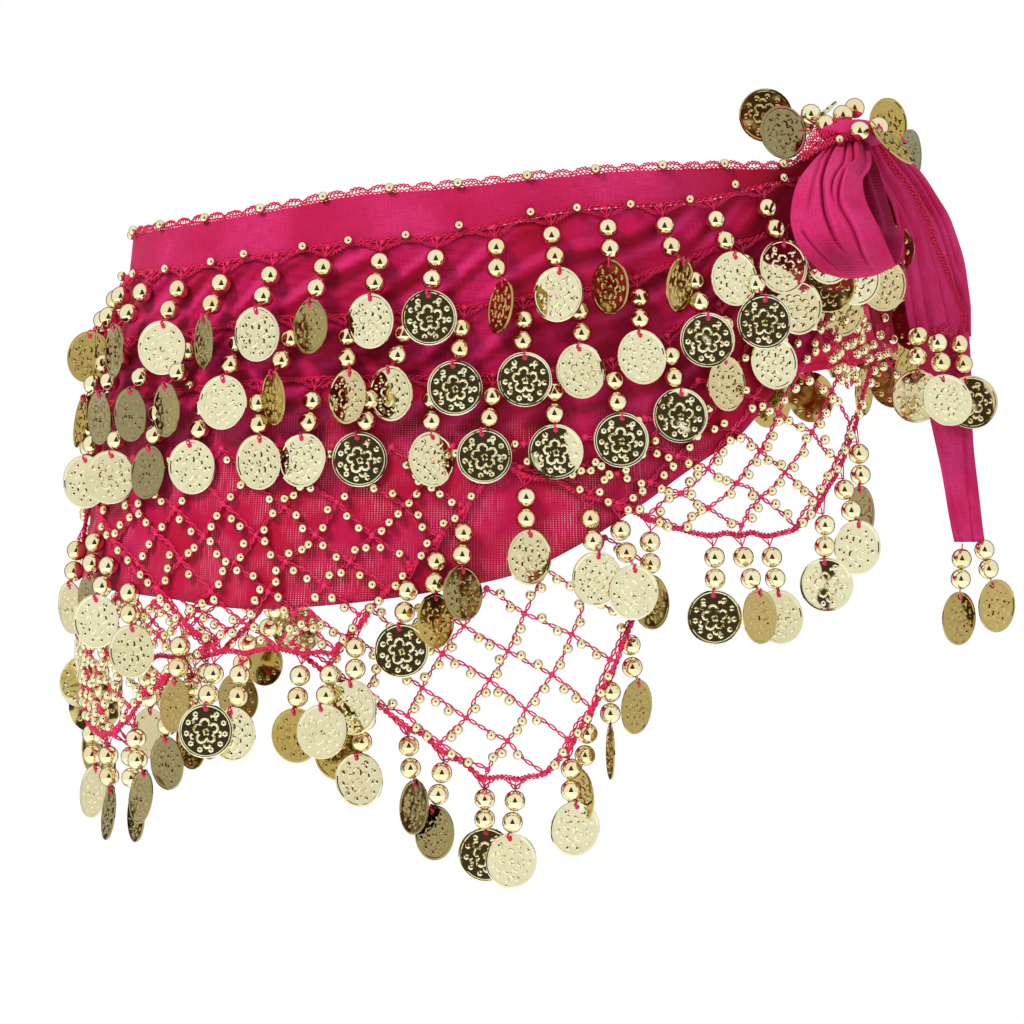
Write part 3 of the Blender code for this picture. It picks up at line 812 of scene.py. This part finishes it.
TAIL_EDGES = (
    (142, -44, 21.5, 150.5, -37, 21.5),
    (145.6, -49, 8, 164, -33, 8),
    (151, -51, -4, 172, -29, -4),
    (154.4, -50, -16, 177.8, -27, -16),
    (155.6, -48, -30, 181.5, -26, -30),
    (157, -47, -43, 183.4, -26, -43),
    (159.4, -46, -55.4, 184, -27.5, -55.4),
)
TAIL_FOLDS = (
    (0, 1, (0.28, 0.33, 0.38, 0.43, 0.52, 0.6, 0.66), 0.028, -1.5, -1.8),
    (0, 1, (0.1, 0.14, 0.2, 0.24, 0.28, 0.3, 0.32), 0.045, -1.1, 0.6),
    (0, 1, (0.58, 0.66, 0.72, 0.77, 0.84, 0.93, 0.97), 0.03, -1.7, 1.3),
    (0, 0.8, (0.76, 0.8, 0.84, 0.88, 0.93), 0.028, -1.5, 0.9),
    (0.3, 1, (0.08, 0.09, 0.11, 0.14), 0.03, -0.9, 0.5),
)
RIBBON_EDGES = (
    (161, -42.5, -53.6, 183, -27, -53.6),
    (164, -41, -75, 184, -30, -75),
    (169.5, -38.5, -98, 184.5, -32, -98),
    (176.8, -37, -136.6, 189, -33, -136.6),
)
RIBBON_FOLDS = (
    (0, 1, (0.86, 0.82, 0.76, 0.66), 0.045, -0.7, 0.6),
    (0, 0.7, (0.44, 0.4, 0.34), 0.07, -0.6, 0.2),
    (0.5, 1, (0.1, 0.16, 0.26), 0.06, -0.5, 0),
)


def leaf(edges, folds, belly):
    """Hanging cloth between two edges, with its folds, as a `where` for a shell."""
    def where(s, t):
        ends = curve_through(edges, t)
        left, across = ends[:, :3], ends[:, 3:] - ends[:, :3]
        run = (curve_through(edges, np.minimum(t + 0.004, 1))
               - curve_through(edges, np.maximum(t - 0.004, 0)))
        out = np.cross(run[:, :3] + run[:, 3:], across)
        out /= np.linalg.norm(out, axis=-1, keepdims=True)
        relief = belly * np.sin(pi * s) * np.sin(pi * np.clip(t, 0, 1)) ** 0.5
        relief += 0.3 * np.sin(9 * s + 5 * t) * np.sin(23 * t - 4 * s)
        for start, end, places, width, depth, over in folds:
            share = (t - start) / (end - start)
            off = (s - curve_through([(p,) for p in places], share)[:, 0]) / width
            inside = np.clip((1 - share) / 0.3, 0, 1) if end < 1 else 1 + 0 * t
            inside = inside * (np.clip(share / 0.2, 0, 1) if start > 0 else 1)
            step = over * (np.tanh(off) * 0.5 + 0.5) * np.exp(-np.clip(off, 0, None) / 9)
            relief += (inside**2 * (3 - 2 * inside)
                       * (1.5 * depth * np.exp(-off**2) + 1.3 * step))
        points = left + across * s[:, None] + out * relief[:, None]
        down = np.interp(t, np.linspace(0, 1, 200), leaf_size(edges)[0])
        return points * MM, np.stack([s * np.linalg.norm(across, axis=-1), down], -1) * MM
    return where


def leaf_size(edges):
    """Lengths down the middle of a leaf and its widths, in mm, at 200 even places."""
    ends = curve_through(edges, np.linspace(0, 1, 200))
    left, right = ends[:, :3], ends[:, 3:]
    steps = np.linalg.norm(np.diff((left + right) / 2, axis=0), axis=1)
    return np.concatenate([[0], np.cumsum(steps)]), np.linalg.norm(right - left, axis=1)


def bow_shade(s, t):
    """Painted shade, a deeper red, on the bow's belly and on the side that turns in behind it; it
    also places the ribs.
    """
    belly = np.exp(-((s - 0.4) / 0.26) ** 2 - ((t - 0.415) / 0.055) ** 2)
    return 0.75 * belly + 0.55 * np.clip((t - 0.57) / 0.06, 0, 1)


STITCH = 2.6 * MM
SEAMS = {           # crochet and stitches sewn on each leaf: shares across and down
    "bow_of_cloth": (((0.22, 0.03), (0.17, 0.1), (0.14, 0.16), (0.13, 0.22)),),
    "tail_of_cloth": (
        ((0.4, 0.04), (0.44, 0.1), (0.53, 0.29), (0.57, 0.5), (0.69, 0.64), (0.79, 0.77),
         (0.89, 0.87), (0.84, 0.985)),
        ((0.04, 0.985), (0.3, 0.98), (0.46, 0.955), (0.6, 0.93)),
        ((0.6, 0.985), (0.78, 0.99), (0.97, 0.985)),
    ),
}


def sew(trim, name, where):
    """Crochet braids along the seams of a leaf; small pricked stitches on the bow."""
    for seam in SEAMS.get(name, ()):
        ends = np.array(seam)
        points = [Vector(p) for p in where(ends[:, 0], ends[:, 1])[0]]
        length = sum((b - a).length for a, b in zip(points, points[1:]))
        count = max(3, int(length / STITCH))
        path = curve_through(ends, np.linspace(0, 1, count + 1))
        points = [Vector(p) for p in where(path[:, 0], path[:, 1])[0]]
        off = Vector((0.25, -1, 0.1)).normalized()
        if name == "bow_of_cloth":
            for a, b in zip(points, points[1:]):
                trim.lay(PLAIN, a.lerp(b, 0.2), a.lerp(b, 0.65), off)
        else:
            points = [p + off * 0.3 * MM for p in points]
            braid(trim, points, [off] * len(points), doubled=0.75 * MM)


def build_bow():
    trim = Trim()
    for name, edges, folds, belly, shape, node, held, shade in (
            ("bow_of_cloth", BOW_EDGES, BOW_FOLDS, 3.4, (72, 150), "bow_loop", "gathered",
             bow_shade),
            ("tail_of_cloth", TAIL_EDGES, TAIL_FOLDS, 1.4, (72, 70), "tail", "hung", None),
            ("ribbon_of_cloth", RIBBON_EDGES, RIBBON_FOLDS, 0.4, (40, 50), "tail_ribbon",
             "hung", None)):
        where = leaf(edges, folds, belly)
        made = shell(name, *shape, where, 0.5 * MM, BOW_CLOTH, shade)
        sew(trim, name, where)
        lengths, widths = (values * MM for values in leaf_size(edges))
        float(np.trapz(widths, lengths))
        keep(made, "cloth", node)
    off = Vector((-0.2, -1, 0.35)).normalized()
    for points in KNOT_BRAIDS:
        path = [Vector(p) * MM for p in curve_through(points, np.linspace(0, 1, 7))]
        braid(trim, path, [off] * len(path), doubled=0.8 * MM)
    trim.build("bow_stitches")


def build_knot():
    """Wrapped cloth: a rounded body with folds that wind round it."""
    bm = bmesh.new()
    ops.create_uvsphere(bm, u_segments=48, v_segments=32, radius=1)
    turn = Matrix.Rotation(radians(KNOT_TURN), 3, "Z")
    half = (15.5, 10.5, 4.8)
    for v in bm.verts:
        power = sum(abs(c) ** 2.6 for c in v.co) ** (-1 / 2.6)
        body = Vector([c * h for c, h in zip(v.co, half)]) * power
        wind = atan2(v.co.z, v.co.y)
        crease = sin(3.1 * body.x / 4 + 1.2 * wind) + 0.5 * sin(body.x / 1.3 + 2 * wind)
        v.co = (Vector((136.5, -52, 23.2)) + turn @ (body * (1.03 + 0.055 * crease))) * MM
    mesh = mesh_of("knot_of_cloth", bm, lambda corner: (corner.co.x + corner.co.y, corner.co.z))
    keep(link("knot_of_cloth", mesh, BOW_CLOTH), "cloth", "knot")


# ---- crochet and gold ----
CHAIN = thread_unit(0.4 * MM, 2, 0.6 * MM)
SHORT_CHAIN = thread_unit(0.38 * MM, 1, 0.5 * MM)
PLAIN = thread_unit(0.3 * MM)
CLUMP = ball_unit(1.25 * MM, 7, 5, rough=0.28)
LOOP_RING = ring_unit(1.25 * MM, 0.42 * MM)
BEAD = ball_unit(BEAD_RADIUS * MM, 18, 12)
SEED = ball_unit(SMALL_BEAD * MM, 11, 7)
COIN = coin_unit()
EYE = eye_unit()

PARALLEL = 0.08             # sine of the angle under which two coins count as parallel
PARALLEL_GAP = 1.2 * MM     # least distance of parallel coins
SEED_GAP = 1.4 * MM         # least distance of a seed's middle from a coin's plane
HUNG_COINS = []             # the coins that hang already, as matrices


def cuts_coins(face):
    """Whether a coin at a place would cut one that hangs already."""
    reach = (COIN_RADIUS + 0.3) * MM
    here, normal = face.translation, face.col[2].xyz
    for other in HUNG_COINS:
        there, away = other.translation, other.col[2].xyz
        if (there - here).length > 2 * reach:
            continue
        line = normal.cross(away)
        if line.length < PARALLEL:
            if abs((there - here).dot(normal)) < PARALLEL_GAP:
                return True
            continue
        line.normalize()
        across = normal.cross(line)
        shift = away.dot(there - here) / away.dot(across)
        foot = here + across * shift
        along_line = (there - foot).dot(line)
        apart = (there - foot - line * along_line).length
        if max(abs(shift), apart) < reach and abs(along_line) < (
                sqrt(reach**2 - shift**2) + sqrt(reach**2 - apart**2)):
            return True
    return False


def clear_of_coins(place):
    """Whether a seed at a place would cut none of the coins that hang already."""
    for face in HUNG_COINS:
        near = face.inverted() @ place
        if abs(near.z) < SEED_GAP and near.xy.length < (COIN_RADIUS + 0.8) * MM:
            return False
    return True


class Trim:
    """Crochet and gold of one piece, gathered as copies of small units."""

    def __init__(self):
        self.thread = []        # unit, matrix, material index, tint
        self.gold = []

    def add(self, unit, matrix):
        self.thread.append((unit, matrix, 0, 0.0))

    def lay(self, unit, start, end, off):
        self.add(unit, along(start, end, off))

    def clump(self, middle, off, scale):
        turn = off.to_track_quat("Z", "Y").to_matrix()
        turn @= Matrix.Rotation(dice.uniform(0, 6), 3, "Z")
        self.add(CLUMP, at(middle, scale, turn))

    def bead(self, unit, middle, scale=1.0):
        tint = dice.uniform(0, 0.7)
        if unit is not SEED or clear_of_coins(middle):
            self.gold.append((unit, at(middle, scale), 1, tint))

    def coin(self, matrix, tint):
        self.gold.append((COIN, matrix, 0, tint))
        HUNG_COINS.append(matrix)

    def build(self, name, gold_nodes=(), thread_nodes=()):
        if self.gold:
            made = joined(name + "_gold", grouped(self.gold), (COIN_GOLD, BEAD_GOLD), 32)
            keep(made, "gold", *gold_nodes)
        if self.thread:
            made = joined(name + "_thread", grouped(self.thread), (THREAD,))
            keep(made, "crochet", *thread_nodes)


def grouped(items):
    """Copies of the same unit and material side by side."""
    found = {}
    for unit, matrix, index, tint in items:
        _, matrices, _, tones_and_reflections = found.setdefault((id(unit[0]), index), (unit, [], index, []))
        matrices.append(matrix)
        tones_and_reflections.append(tint)
    return found.values()


def braid(trim, points, offs, lay=CHAIN, doubled=0.0):
    """A crocheted chain through points; a second one lies beside it if doubled."""
    for a, b, off in zip(points, points[1:], offs):
        side = (b - a).cross(off).normalized() * doubled
        stray = [Vector([jitter(0.15) for _ in range(3)]) * MM for _ in range(2)]
        trim.lay(lay, a + side + stray[0], b + side + stray[1], off)
        if doubled:
            trim.lay(lay, b - side + stray[0], a - side + stray[1], off)


def even(first, last, step):
    """Places from first to last, as far apart as the step or a little more."""
    count = int((last - first) / step)
    return [first + (last - first) * k / count for k in range(count + 1)]


def hung_over(places, out):
    """Points over the cloth and directions off it, from lengths, heights and rises."""
    return ([spot(u, height + rise, out) for u, height, rise in places],
            [outward(u, height) for u, height, rise in places])


def round_chain(trim, name, drop, out, step, first, last):
    """A chain along one of the scarf's lines."""
    places = enumerate(even(first, last, step))
    braid(trim, *hung_over([(u, line(u, name) - drop, 0.3 * MM * sin(2.1 * k))
                            for k, u in places], out))


def coin_turn():
    """How far a coin has turned on its thread, in degrees, and the painted reflection of its
    gold, deeper for the further turned.
    """
    turn = dice.choice((3, 8, 24, 26, 28, 31, 35, 48, 58, 66)) + jitter(3)
    return turn, dice.uniform(0.6, 1.7) if turn > 40 else dice.random() ** 3 * 0.5


TURNS = {           # of the first coins of a row or fringe: degrees turned, and painted reflection
    "row_1": ((26, 0), (26, 0.1), (30, 0), (60, 0.9), (50, 1.2), (27, 0), (65, 1),
              (3, 0), (31, 0), (50, 1.5), (32, 0.1), (68, 1.7), (25, 0), (66, 1.6),
              (84, 1), (60, 1.2)),
    "row_2": ((27, 0.2), (2, 0), (3, 0), (28, 0), (28, 0.1), (3, 0), (4, 0),
              (38, 0.2), (46, 0.5), (64, 1), (27, 0), (58, 1.6), (50, 1.8), (60, 1.7),
              (8, 1), (8, 1)),
    "row_3": ((30, 0), (45, 0.5), (4, 0), (3, 0), (5, 0), (2, 0), (34, 0.1),
              (2, 0), (28, 0), (33, 0.1), (28, 0), (48, 1.8), (14, 0.2), (29, 0.1),
              (6, 1), (20, 0)),
    "net_over_1": ((58, 1.6), (28, 0), (9, 0), (26, 0.2), (50, 0.9), (3, 0), (48, 1.4),
                   (26, 0), (28, 0), (37, 0.3)),
    "net_over_2": ((46, 1.6), (50, 1), (3, 0), (27, 0.1), (21, 0.1), (27, 1), (33, 0),
                   (3, 0), (54, 1.2), (31, 0.2), (29, 0), (60, 1.7)),
    "net_hem_1": ((56, 1.2), (83, 0.9), (62, 0.9), (27, 0), (23, 0), (6, 0), (44, 1.6),
                  (58, 1.6), (30, 0.2), (27, 1)),
    "net_hem_2": ((60, 1), (54, 1.2), (50, 1.7), (62, 1.6), (68, 1.5), (72, 1.7), (20, 0.3),
                  (20, 0.5), (12, 0.8)),
}
BY_KNOT = (62, 0.9)         # pose of the coins that hang crowded where the rows end


def poses(name):
    """The turns and tints of a row's coins: the ones given first, then by chance."""
    yield from TURNS.get(name, ())
    while True:
        yield coin_turn()


SHIFTS_OVER = (0, 1.2, 2.4, 3.6, 4.8)       # in mm off the cloth, to miss other coins
SHIFTS_FREE = (0, -1.5, 1.5, -3, 3, -4.5, 4.5, -6)
COIN_CLEAR = 1.4            # least gap between a turned coin and the cloth, in mm
BEAD_FOLLOWS = 0.55         # share of its coin's way out that the lower bead goes too


def dangle(trim, u, height, lifts, pose, scale=1.0):
    """Two beads and a coin on a thread, below a place on the scarf.

    The coin has turned `turn` degrees to a side: from the front of the scarf where it
    shows there, otherwise off the cloth behind it.
    """
    swing = tan(radians(jitter(7)))
    bead_out, coin_out = lifts
    turn, tint = pose

    def below(drop, out):
        return spot(u + drop * MM * swing, height - drop * MM, out * MM)

    off = outward(u, height)
    twist = dice.choice((-1, 1)) * turn
    if off.y < -0.25:
        if abs(off.x) > 0.2:
            twist = copysign(turn, off.x)
        twist -= degrees(atan2(off.x, -off.y))
    over = coin_out > 0
    if over:
        proud = COIN_RADIUS * abs(sin(radians(twist))) * 0.9
        coin_out = max(coin_out, proud + COIN_CLEAR)
    side = Vector((0, 0, 1)).cross(off).normalized()
    down = Vector((0, 0, -1)) + side * swing + off * dice.uniform(-0.06, 0.14)
    down.normalize()
    off = (off - down * off.dot(down)).normalized()

    def hung(more):
        middle = below(COIN_DROP * scale, coin_out + more)
        return facing(middle, -down, off, radians(twist))

    shifts = SHIFTS_OVER if over else SHIFTS_FREE
    shift = next((more for more in shifts if not cuts_coins(hung(more))), 0)
    face = hung(shift)
    hole = face.translation - down * COIN_HOLE * MM
    # The lower bead goes out with its coin so far that the thread bends softly.
    outs = bead_out, bead_out + BEAD_FOLLOWS * max(0, coin_out + shift - bead_out)
    beads = [below(drop * scale, out) for drop, out in zip(BEAD_DROPS, outs)]
    for bead in beads:
        trim.bead(BEAD, bead + side * jitter(0.5) * MM)
    trim.lay(PLAIN, below(0, bead_out - 1), beads[0], off)
    for beside in (-0.35, 0.35):
        trim.lay(PLAIN, beads[-1] + side * beside * MM, hole + side * beside * MM, off)
    trim.add(LOOP_RING, facing(hole - down * 0.9 * MM, down, side, 0.4))
    trim.coin(face, tint)
    trim.add(EYE, face @ Matrix.Translation((0, COIN_HOLE * MM - 0.4 * MM, 0)))


def scallops(trim, name, first, last):
    """The second chain of a row, which dips to each of its dangles."""
    path = []
    for k in range(8 * (last - first) + 1):
        u = (first + k / 8) * PITCH
        dip = (abs(cos(pi * k / 16)) ** 3) * 3.0 + jitter(0.25)
        path.append((u, line(u, name), -dip * MM))
    braid(trim, *hung_over(path, 2.4 * MM), lay=SHORT_CHAIN)


def build_edging():
    """Open arches of chain over a thin chain on the band's edge, with a bead at some feet."""
    trim = Trim()
    span = 0.4 * PITCH, (COLUMNS - 0.4) * PITCH
    round_chain(trim, "top", 3.0 * MM, 1.0 * MM, 3.9 * MM, *span)
    feet = even(*span, 9.5 * MM)
    for k, (u, v) in enumerate(zip(feet, feet[1:])):
        rise = dice.uniform(1.7, 2.3)
        path = []
        for j in range(7):
            at_u = u + (v - u) * j / 6
            lift = rise * sin(pi * j / 6) ** 0.6 - 2.7
            path.append((at_u, line(at_u, "top"), lift * MM))
        points, offs = hung_over(path, 1.2 * MM)
        braid(trim, points, offs, lay=SHORT_CHAIN)
        fall = Vector((0, 0, -rise * MM)) + (points[1] - points[0]) * 0.5
        for j in (2, 3, 4):
            trim.lay(PLAIN, points[j], points[j] + fall, offs[j])
        if k % 3 == 0:
            trim.bead(SEED, spot(u, line(u, "top") - 1.7 * MM, 2.9 * MM))
    trim.build("edging", (), ("crochet_edging",))


def build_rows():
    for name, first, last, out in (("row_1", 2, 70, 11.9), ("row_2", 3, 69, 10.3),
                                   ("row_3", 4, 68, 5.6)):
        trim = Trim()
        turns = poses(name)
        round_chain(trim, name, -0.6 * MM, 2.2 * MM, 5.8 * MM,
                    (first - 1.2) * PITCH, (last + 1.2) * PITCH)
        scallops(trim, name, first, last)
        for k in range(first, last + 1, 2):
            u = k * PITCH
            h = line(u, name) - CORD_HEIGHT / 2
            off = outward(u, h)
            pose = next(turns)
            dangle(trim, u, h, (BEAD_OUT, out), BY_KNOT if last - k < 9 else pose)
            trim.clump(spot(u, h + 1 * MM, 2.6 * MM), off, 0.9)
            for reach in (-2.6, 2.6):
                trim.lay(PLAIN, spot(u + reach * MM, h + 1 * MM, 2.4 * MM),
                         spot(u, h - 2.6 * MM, 4.6 * MM), off)
            if name == "row_1" or name == "row_3" and (k // 2) % 3 == 0:
                trim.bead(SEED, spot(u + PITCH + jitter(4) * MM,
                                     h + dice.uniform(0.9, 2.4) * MM, 4.0 * MM))
        trim.build(name, ("coin_" + name,))


# ---- beaded nets ----
THREE_BEADS = 0.2           # share of the struts over the cloth that carry three beads
BEAD_MISSING = 0.08         # share of the beads that are left out
BEAD_BELOW = 0.75           # share of them on the lower side of their strut


def on_net(net, m, depth):
    """Length and height of a place on a net: half cells along and half cells down."""
    u0 = net.column * PITCH + m * net.half_w * MM
    top = line(u0, net.line)
    row = (top - net.foot * MM) / (net.rows + 1)
    drop = depth * row + (STRAND + SEAM if net.line == "hem" else 0)
    return u0 + net.lean * drop, top - drop


def net_links(net):
    links = set()
    for row in range(1, net.rows + 1):
        count = net.cells - row + 1
        for m in (2 * k - (count - 1) for k in range(count)):
            if m - 1 >= net.first and m + 1 <= net.last:
                links |= {((m, row - 1), (m + 1, row)), ((m, row - 1), (m - 1, row)),
                          ((m - 1, row), (m, row + 1)), ((m + 1, row), (m, row + 1))}
    return links


FRINGE_MORE = {     # half cells that carry a coin beside the ones of the solids
    "net_over_1": (0, 4, -4), "net_over_2": (-6, -2, 2, 6), "net_over_3": (-4, 0, 4),
    "net_hem_1": (-5, -3, 1, 3, 5), "net_hem_2": (-5, -1, 3),
}


def has_coin(net, m):
    """Whether a half cell carries a coin: on the solids too, or only here."""
    own = m % 2 == (net.line == "net")
    return own, own or m in FRINGE_MORE[net.name]


def edge_depth(net, m):
    """Depth of a net's lower edge in half cells, over whole and part half cells."""
    whole = floor(m)
    low, high = (min(net.rows + 1, net.cells + 1 - abs(k)) for k in (whole, whole + 1))
    return low + (high - low) * (m - whole)


def on_edge(net, m):
    """Place of a net's edge braid, which is drawn down where a coin hangs from it."""
    u, h = on_net(net, max(min(m, net.cells - 0.1), 0.1 - net.cells), edge_depth(net, m))
    near = (floor(m), ceil(m))
    off = min([abs(m - k) for k in near if has_coin(net, k)[1]], default=1)
    return u, h - STRAND - (0.6 - 2.4 * off**1.5) * MM


def build_net(net):
    """Struts of chain with two beads each, clumps where they meet, and the edge cord."""
    over = net.line == "net"
    out = (LACE_INSIDE if over else 0) + 0.6 * MM
    stray, sag, bead_lift = (1.7, 1.5, 1.2) if over else (1.5, 1.2, 0.5)
    trim = Trim()
    links = sorted(net_links(net))
    places = {}
    for m, d in sorted({end for item in links for end in item}):
        u, h = on_net(net, m, d)
        if d:
            u += jitter(stray) * MM
            h += jitter(stray) * MM
        places[m, d] = (spot(u, h, out), outward(u, h))
    for a, b in links:
        (pa, off), (pb, _) = places[a], places[b]
        run = (pb - pa).normalized()
        side = off.cross(run)
        if side.z > 0:
            side = -side
        start, end = pa + run * 0.9 * MM, pb - run * 0.9 * MM
        bend = (start + end) / 2 + side * jitter(1) * sag * MM
        trim.lay(CHAIN, start, bend, off)
        trim.lay(CHAIN, bend, end, off)
        for share in (0.2, 0.5, 0.8) if over and dice.random() < THREE_BEADS else (0.33, 0.67):
            if dice.random() < BEAD_MISSING:
                continue
            way = 1 if dice.random() < BEAD_BELOW else -1
            middle = pa + (pb - pa) * (share + jitter(0.06))
            trim.bead(SEED, middle + side * way * dice.uniform(0.9, 1.5) * MM
                      + off * bead_lift * MM)
    for middle, off in places.values():
        trim.clump(middle, off, dice.uniform(0.85, 1.2))
    for m, d in sorted(set(places) - {min(ends, key=lambda end: end[1]) for ends in links}):
        middle, off = places[m, d]
        edge = spot(*on_edge(net, m), out + 0.3 * MM)
        if (edge - middle).length > 1.2 * MM:
            trim.lay(CHAIN, middle, edge, off)
    path = [(*on_edge(net, net.first + k / 4), jitter(0.4) * MM)
            for k in range(4 * (net.last - net.first) + 1)]
    braid(trim, *hung_over(path, out + 0.3 * MM), doubled=0.42 * MM)
    for (m, d), (middle, off) in places.items():
        if d == 0:
            trim.clump(middle, off, 1.2)
    trim.build(net.name, (), (net.name,))


def build_net_fringe(net):
    """A net's coins and beads on V threads; the extra ones hang at another depth."""
    over = net.line == "net"
    front = (2.8 if over else 0.8) * MM
    trim = Trim()
    turns = poses(net.name)
    for m in range(net.first + 1, net.last):
        own, any_coin = has_coin(net, m)
        if not any_coin:
            continue
        bead_out, coin_out = FRINGE_OVER if over else FRINGE_HEM
        if not own:
            coin_out += 4.0 if over else -6.0
            bead_out += 0.0 if over else -4.0
        u, h = on_net(net, m, edge_depth(net, m))
        h -= STRAND + 1.0 * MM
        off = outward(u, h)
        foot = spot(u, h - CORD_HEIGHT / 2 - 2.4 * MM, (bead_out + 0.2) * MM)
        trim.clump(spot(u, h, front), off, 0.9)
        for reach in (-0.3, 0.3):
            trim.lay(PLAIN if over else CHAIN, spot(*on_edge(net, m + reach), front), foot, off)
        dangle(trim, u, h - CORD_HEIGHT / 2, (bead_out, coin_out), next(turns),
               1.0 if own else dice.uniform(0.93, 1.04))
    fringe = net.name.replace("net", "fringe")
    trim.build(fringe, (fringe,))


def build_knot_net():
    """Crossing braids and beads of the net where it bunches up beside the knot."""
    trim = Trim()
    for k in range(16):
        u, h = (-22 + 3.4 * k) * MM, (-44 - (k * 7) % 17) * MM
        slant = 8 * MM if k % 2 else -8 * MM
        path = [spot(u + slant * j / 4, h - 4.2 * MM * j, (2.6 + (k % 3)) * MM) for j in range(5)]
        off = outward(u, h)
        braid(trim, path, [off] * 5)
        for j in (1, 3):
            trim.bead(SEED, path[j] + off * 1.2 * MM)
        trim.clump(path[2], off, 1.1)
    trim.build("knot_net")


def build_loose():
    """The coins and beads round the knot, under the bow and on the tail."""
    trim = Trim()
    for coin in LOOSE:
        down = Vector(coin.along).normalized()
        off = Vector(coin.facing)
        off = (off - down * off.dot(down)).normalized()
        start = Vector(coin.start) * MM
        for k in range(coin.beads):
            trim.bead(BEAD, start + down * (6 + 8 * k) * MM)
        middle = start + down * (13.5 + 8 * coin.beads) * MM
        hole = middle - down * COIN_HOLE * MM
        trim.lay(PLAIN, start, hole, off)
        trim.add(LOOP_RING, facing(hole, down, down.cross(off), 0.3))
        trim.coin(facing(middle, -down, off), coin.tint)
    for middle, off, tint in UNDER_BOW:
        middle = Vector(middle) * MM
        trim.coin(facing(middle, (0, 0, 1), off), tint)
        hole = middle + Vector((0, 0, COIN_HOLE * MM))
        trim.lay(PLAIN, hole + Vector((0, 0, 9 * MM)), hole, off)
    for *middle, size in KNOT_BEADS:
        trim.bead(BEAD, Vector(middle) * MM, size)
    trim.build("loose", tuple(coin.name for coin in LOOSE))


# ---- making the scarf ----
round_sheet("band_of_cloth", (288, 10), (("top", -EDGING - SEAM), ("row_1", SEAM / 2)),
            band_relief, BAND_CLOTH, "waistband")
round_sheet("panel_of_cloth", (430, 54), (("row_1", -SEAM / 2), ("hem", 0)),
            panel_relief, PANEL_CLOTH, "cloth_panel")
build_edging()
build_rows()
for item in NETS:
    build_net(item)
    build_net_fringe(item)
build_bow()
build_knot()
build_knot_net()
build_loose()


# ---- floor, light and camera ----
FLOOR = -0.6
CAMERA_AWAY = 2.2
VIEW_WIDTH = 0.4096
SENSOR = 36


def build_floor():
    bm = bmesh.new()
    ops.create_circle(bm, cap_ends=True, segments=96, radius=1.4,
                      matrix=Matrix.Translation((0, 0, FLOOR)))
    made, wire, skin = new_material("pale_floor")
    wire.feed(skin, {"Base Color": (0.9, 0.9, 0.9), "Roughness": 0.9,
                     "Emission Color": (1, 1, 1), "Emission Strength": 0.3})
    link("floor", mesh_of("floor", bm), made)


def build_world():
    """White for the camera; for the gold a pale studio with a dark card in front."""
    world = bpy.context.scene.world = bpy.data.worlds.new("studio")
    wire = Shader(world)
    world.node_tree.nodes.clear()
    x, y, z = wire.node(
        "SeparateXYZ", {0: wire.node("TexCoord").outputs["Generated"]}).outputs
    ahead = wire.math("MAXIMUM", wire.times(y, -1.0), 0.05)
    beside = wire.math("ABSOLUTE", wire.math("DIVIDE", x, ahead))
    above = wire.math("DIVIDE", z, ahead)
    slope = wire.math("ADD", above, wire.times(beside, 2.3))
    card = wire.times(wire.ramp(slope, 0.95, 0.89), wire.ramp(above, -0.62, -0.57))
    shade = wire.mix(wire.ramp(z, -0.55, -0.62), (0.93, 0.93, 0.92), (0.8, 0.68, 0.46))
    shade = wire.mix(wire.ramp(y, 0.70, 0.80), shade, (0.10, 0.075, 0.04))
    shade = wire.mix(card, shade, (0.052, 0.041, 0.025))
    path = wire.node("LightPath").outputs
    shade = wire.mix(path["Is Diffuse Ray"], shade, (0.42, 0.42, 0.43))
    lit = wire.node("Background", {"Color": shade}).outputs[0]
    seen = wire.node("Background", {"Color": (1, 1, 1)}).outputs[0]
    both = wire.node("MixShader", {0: path["Is Camera Ray"], 1: lit, 2: seen}).outputs[0]
    wire.node("OutputWorld", {"Surface": both})


def area_light(name, place_at, size, watts):
    made = bpy.data.objects.new(name, bpy.data.lights.new(name, "AREA"))
    made.data.shape = "RECTANGLE"
    made.data.size, made.data.size_y = size
    made.data.energy = watts
    made.location = place_at
    aim = Vector((0, 0, -0.1)) - Vector(place_at)
    made.rotation_euler = aim.to_track_quat("-Z", "Y").to_euler()
    made.visible_glossy = False
    bpy.context.collection.objects.link(made)


def build_camera():
    made = bpy.data.objects.new("camera", bpy.data.cameras.new("camera"))
    made.location = (0.0028, -CAMERA_AWAY, -0.1248)
    made.rotation_euler = (radians(90), 0, 0)
    made.data.sensor_width = SENSOR
    made.data.lens = SENSOR * CAMERA_AWAY / VIEW_WIDTH
    bpy.context.collection.objects.link(made)
    bpy.context.scene.camera = made


build_floor()
build_world()
area_light("key", (-1.1, -1.2, 1.3), (0.6, 0.6), 29)
area_light("fill", (1.5, -1.2, 0.5), (0.8, 0.8), 6)
area_light("back", (0.3, 1.6, 1.3), (1.4, 1.0), 16)
build_camera()
bpy.context.scene.view_settings.view_transform = "Standard"
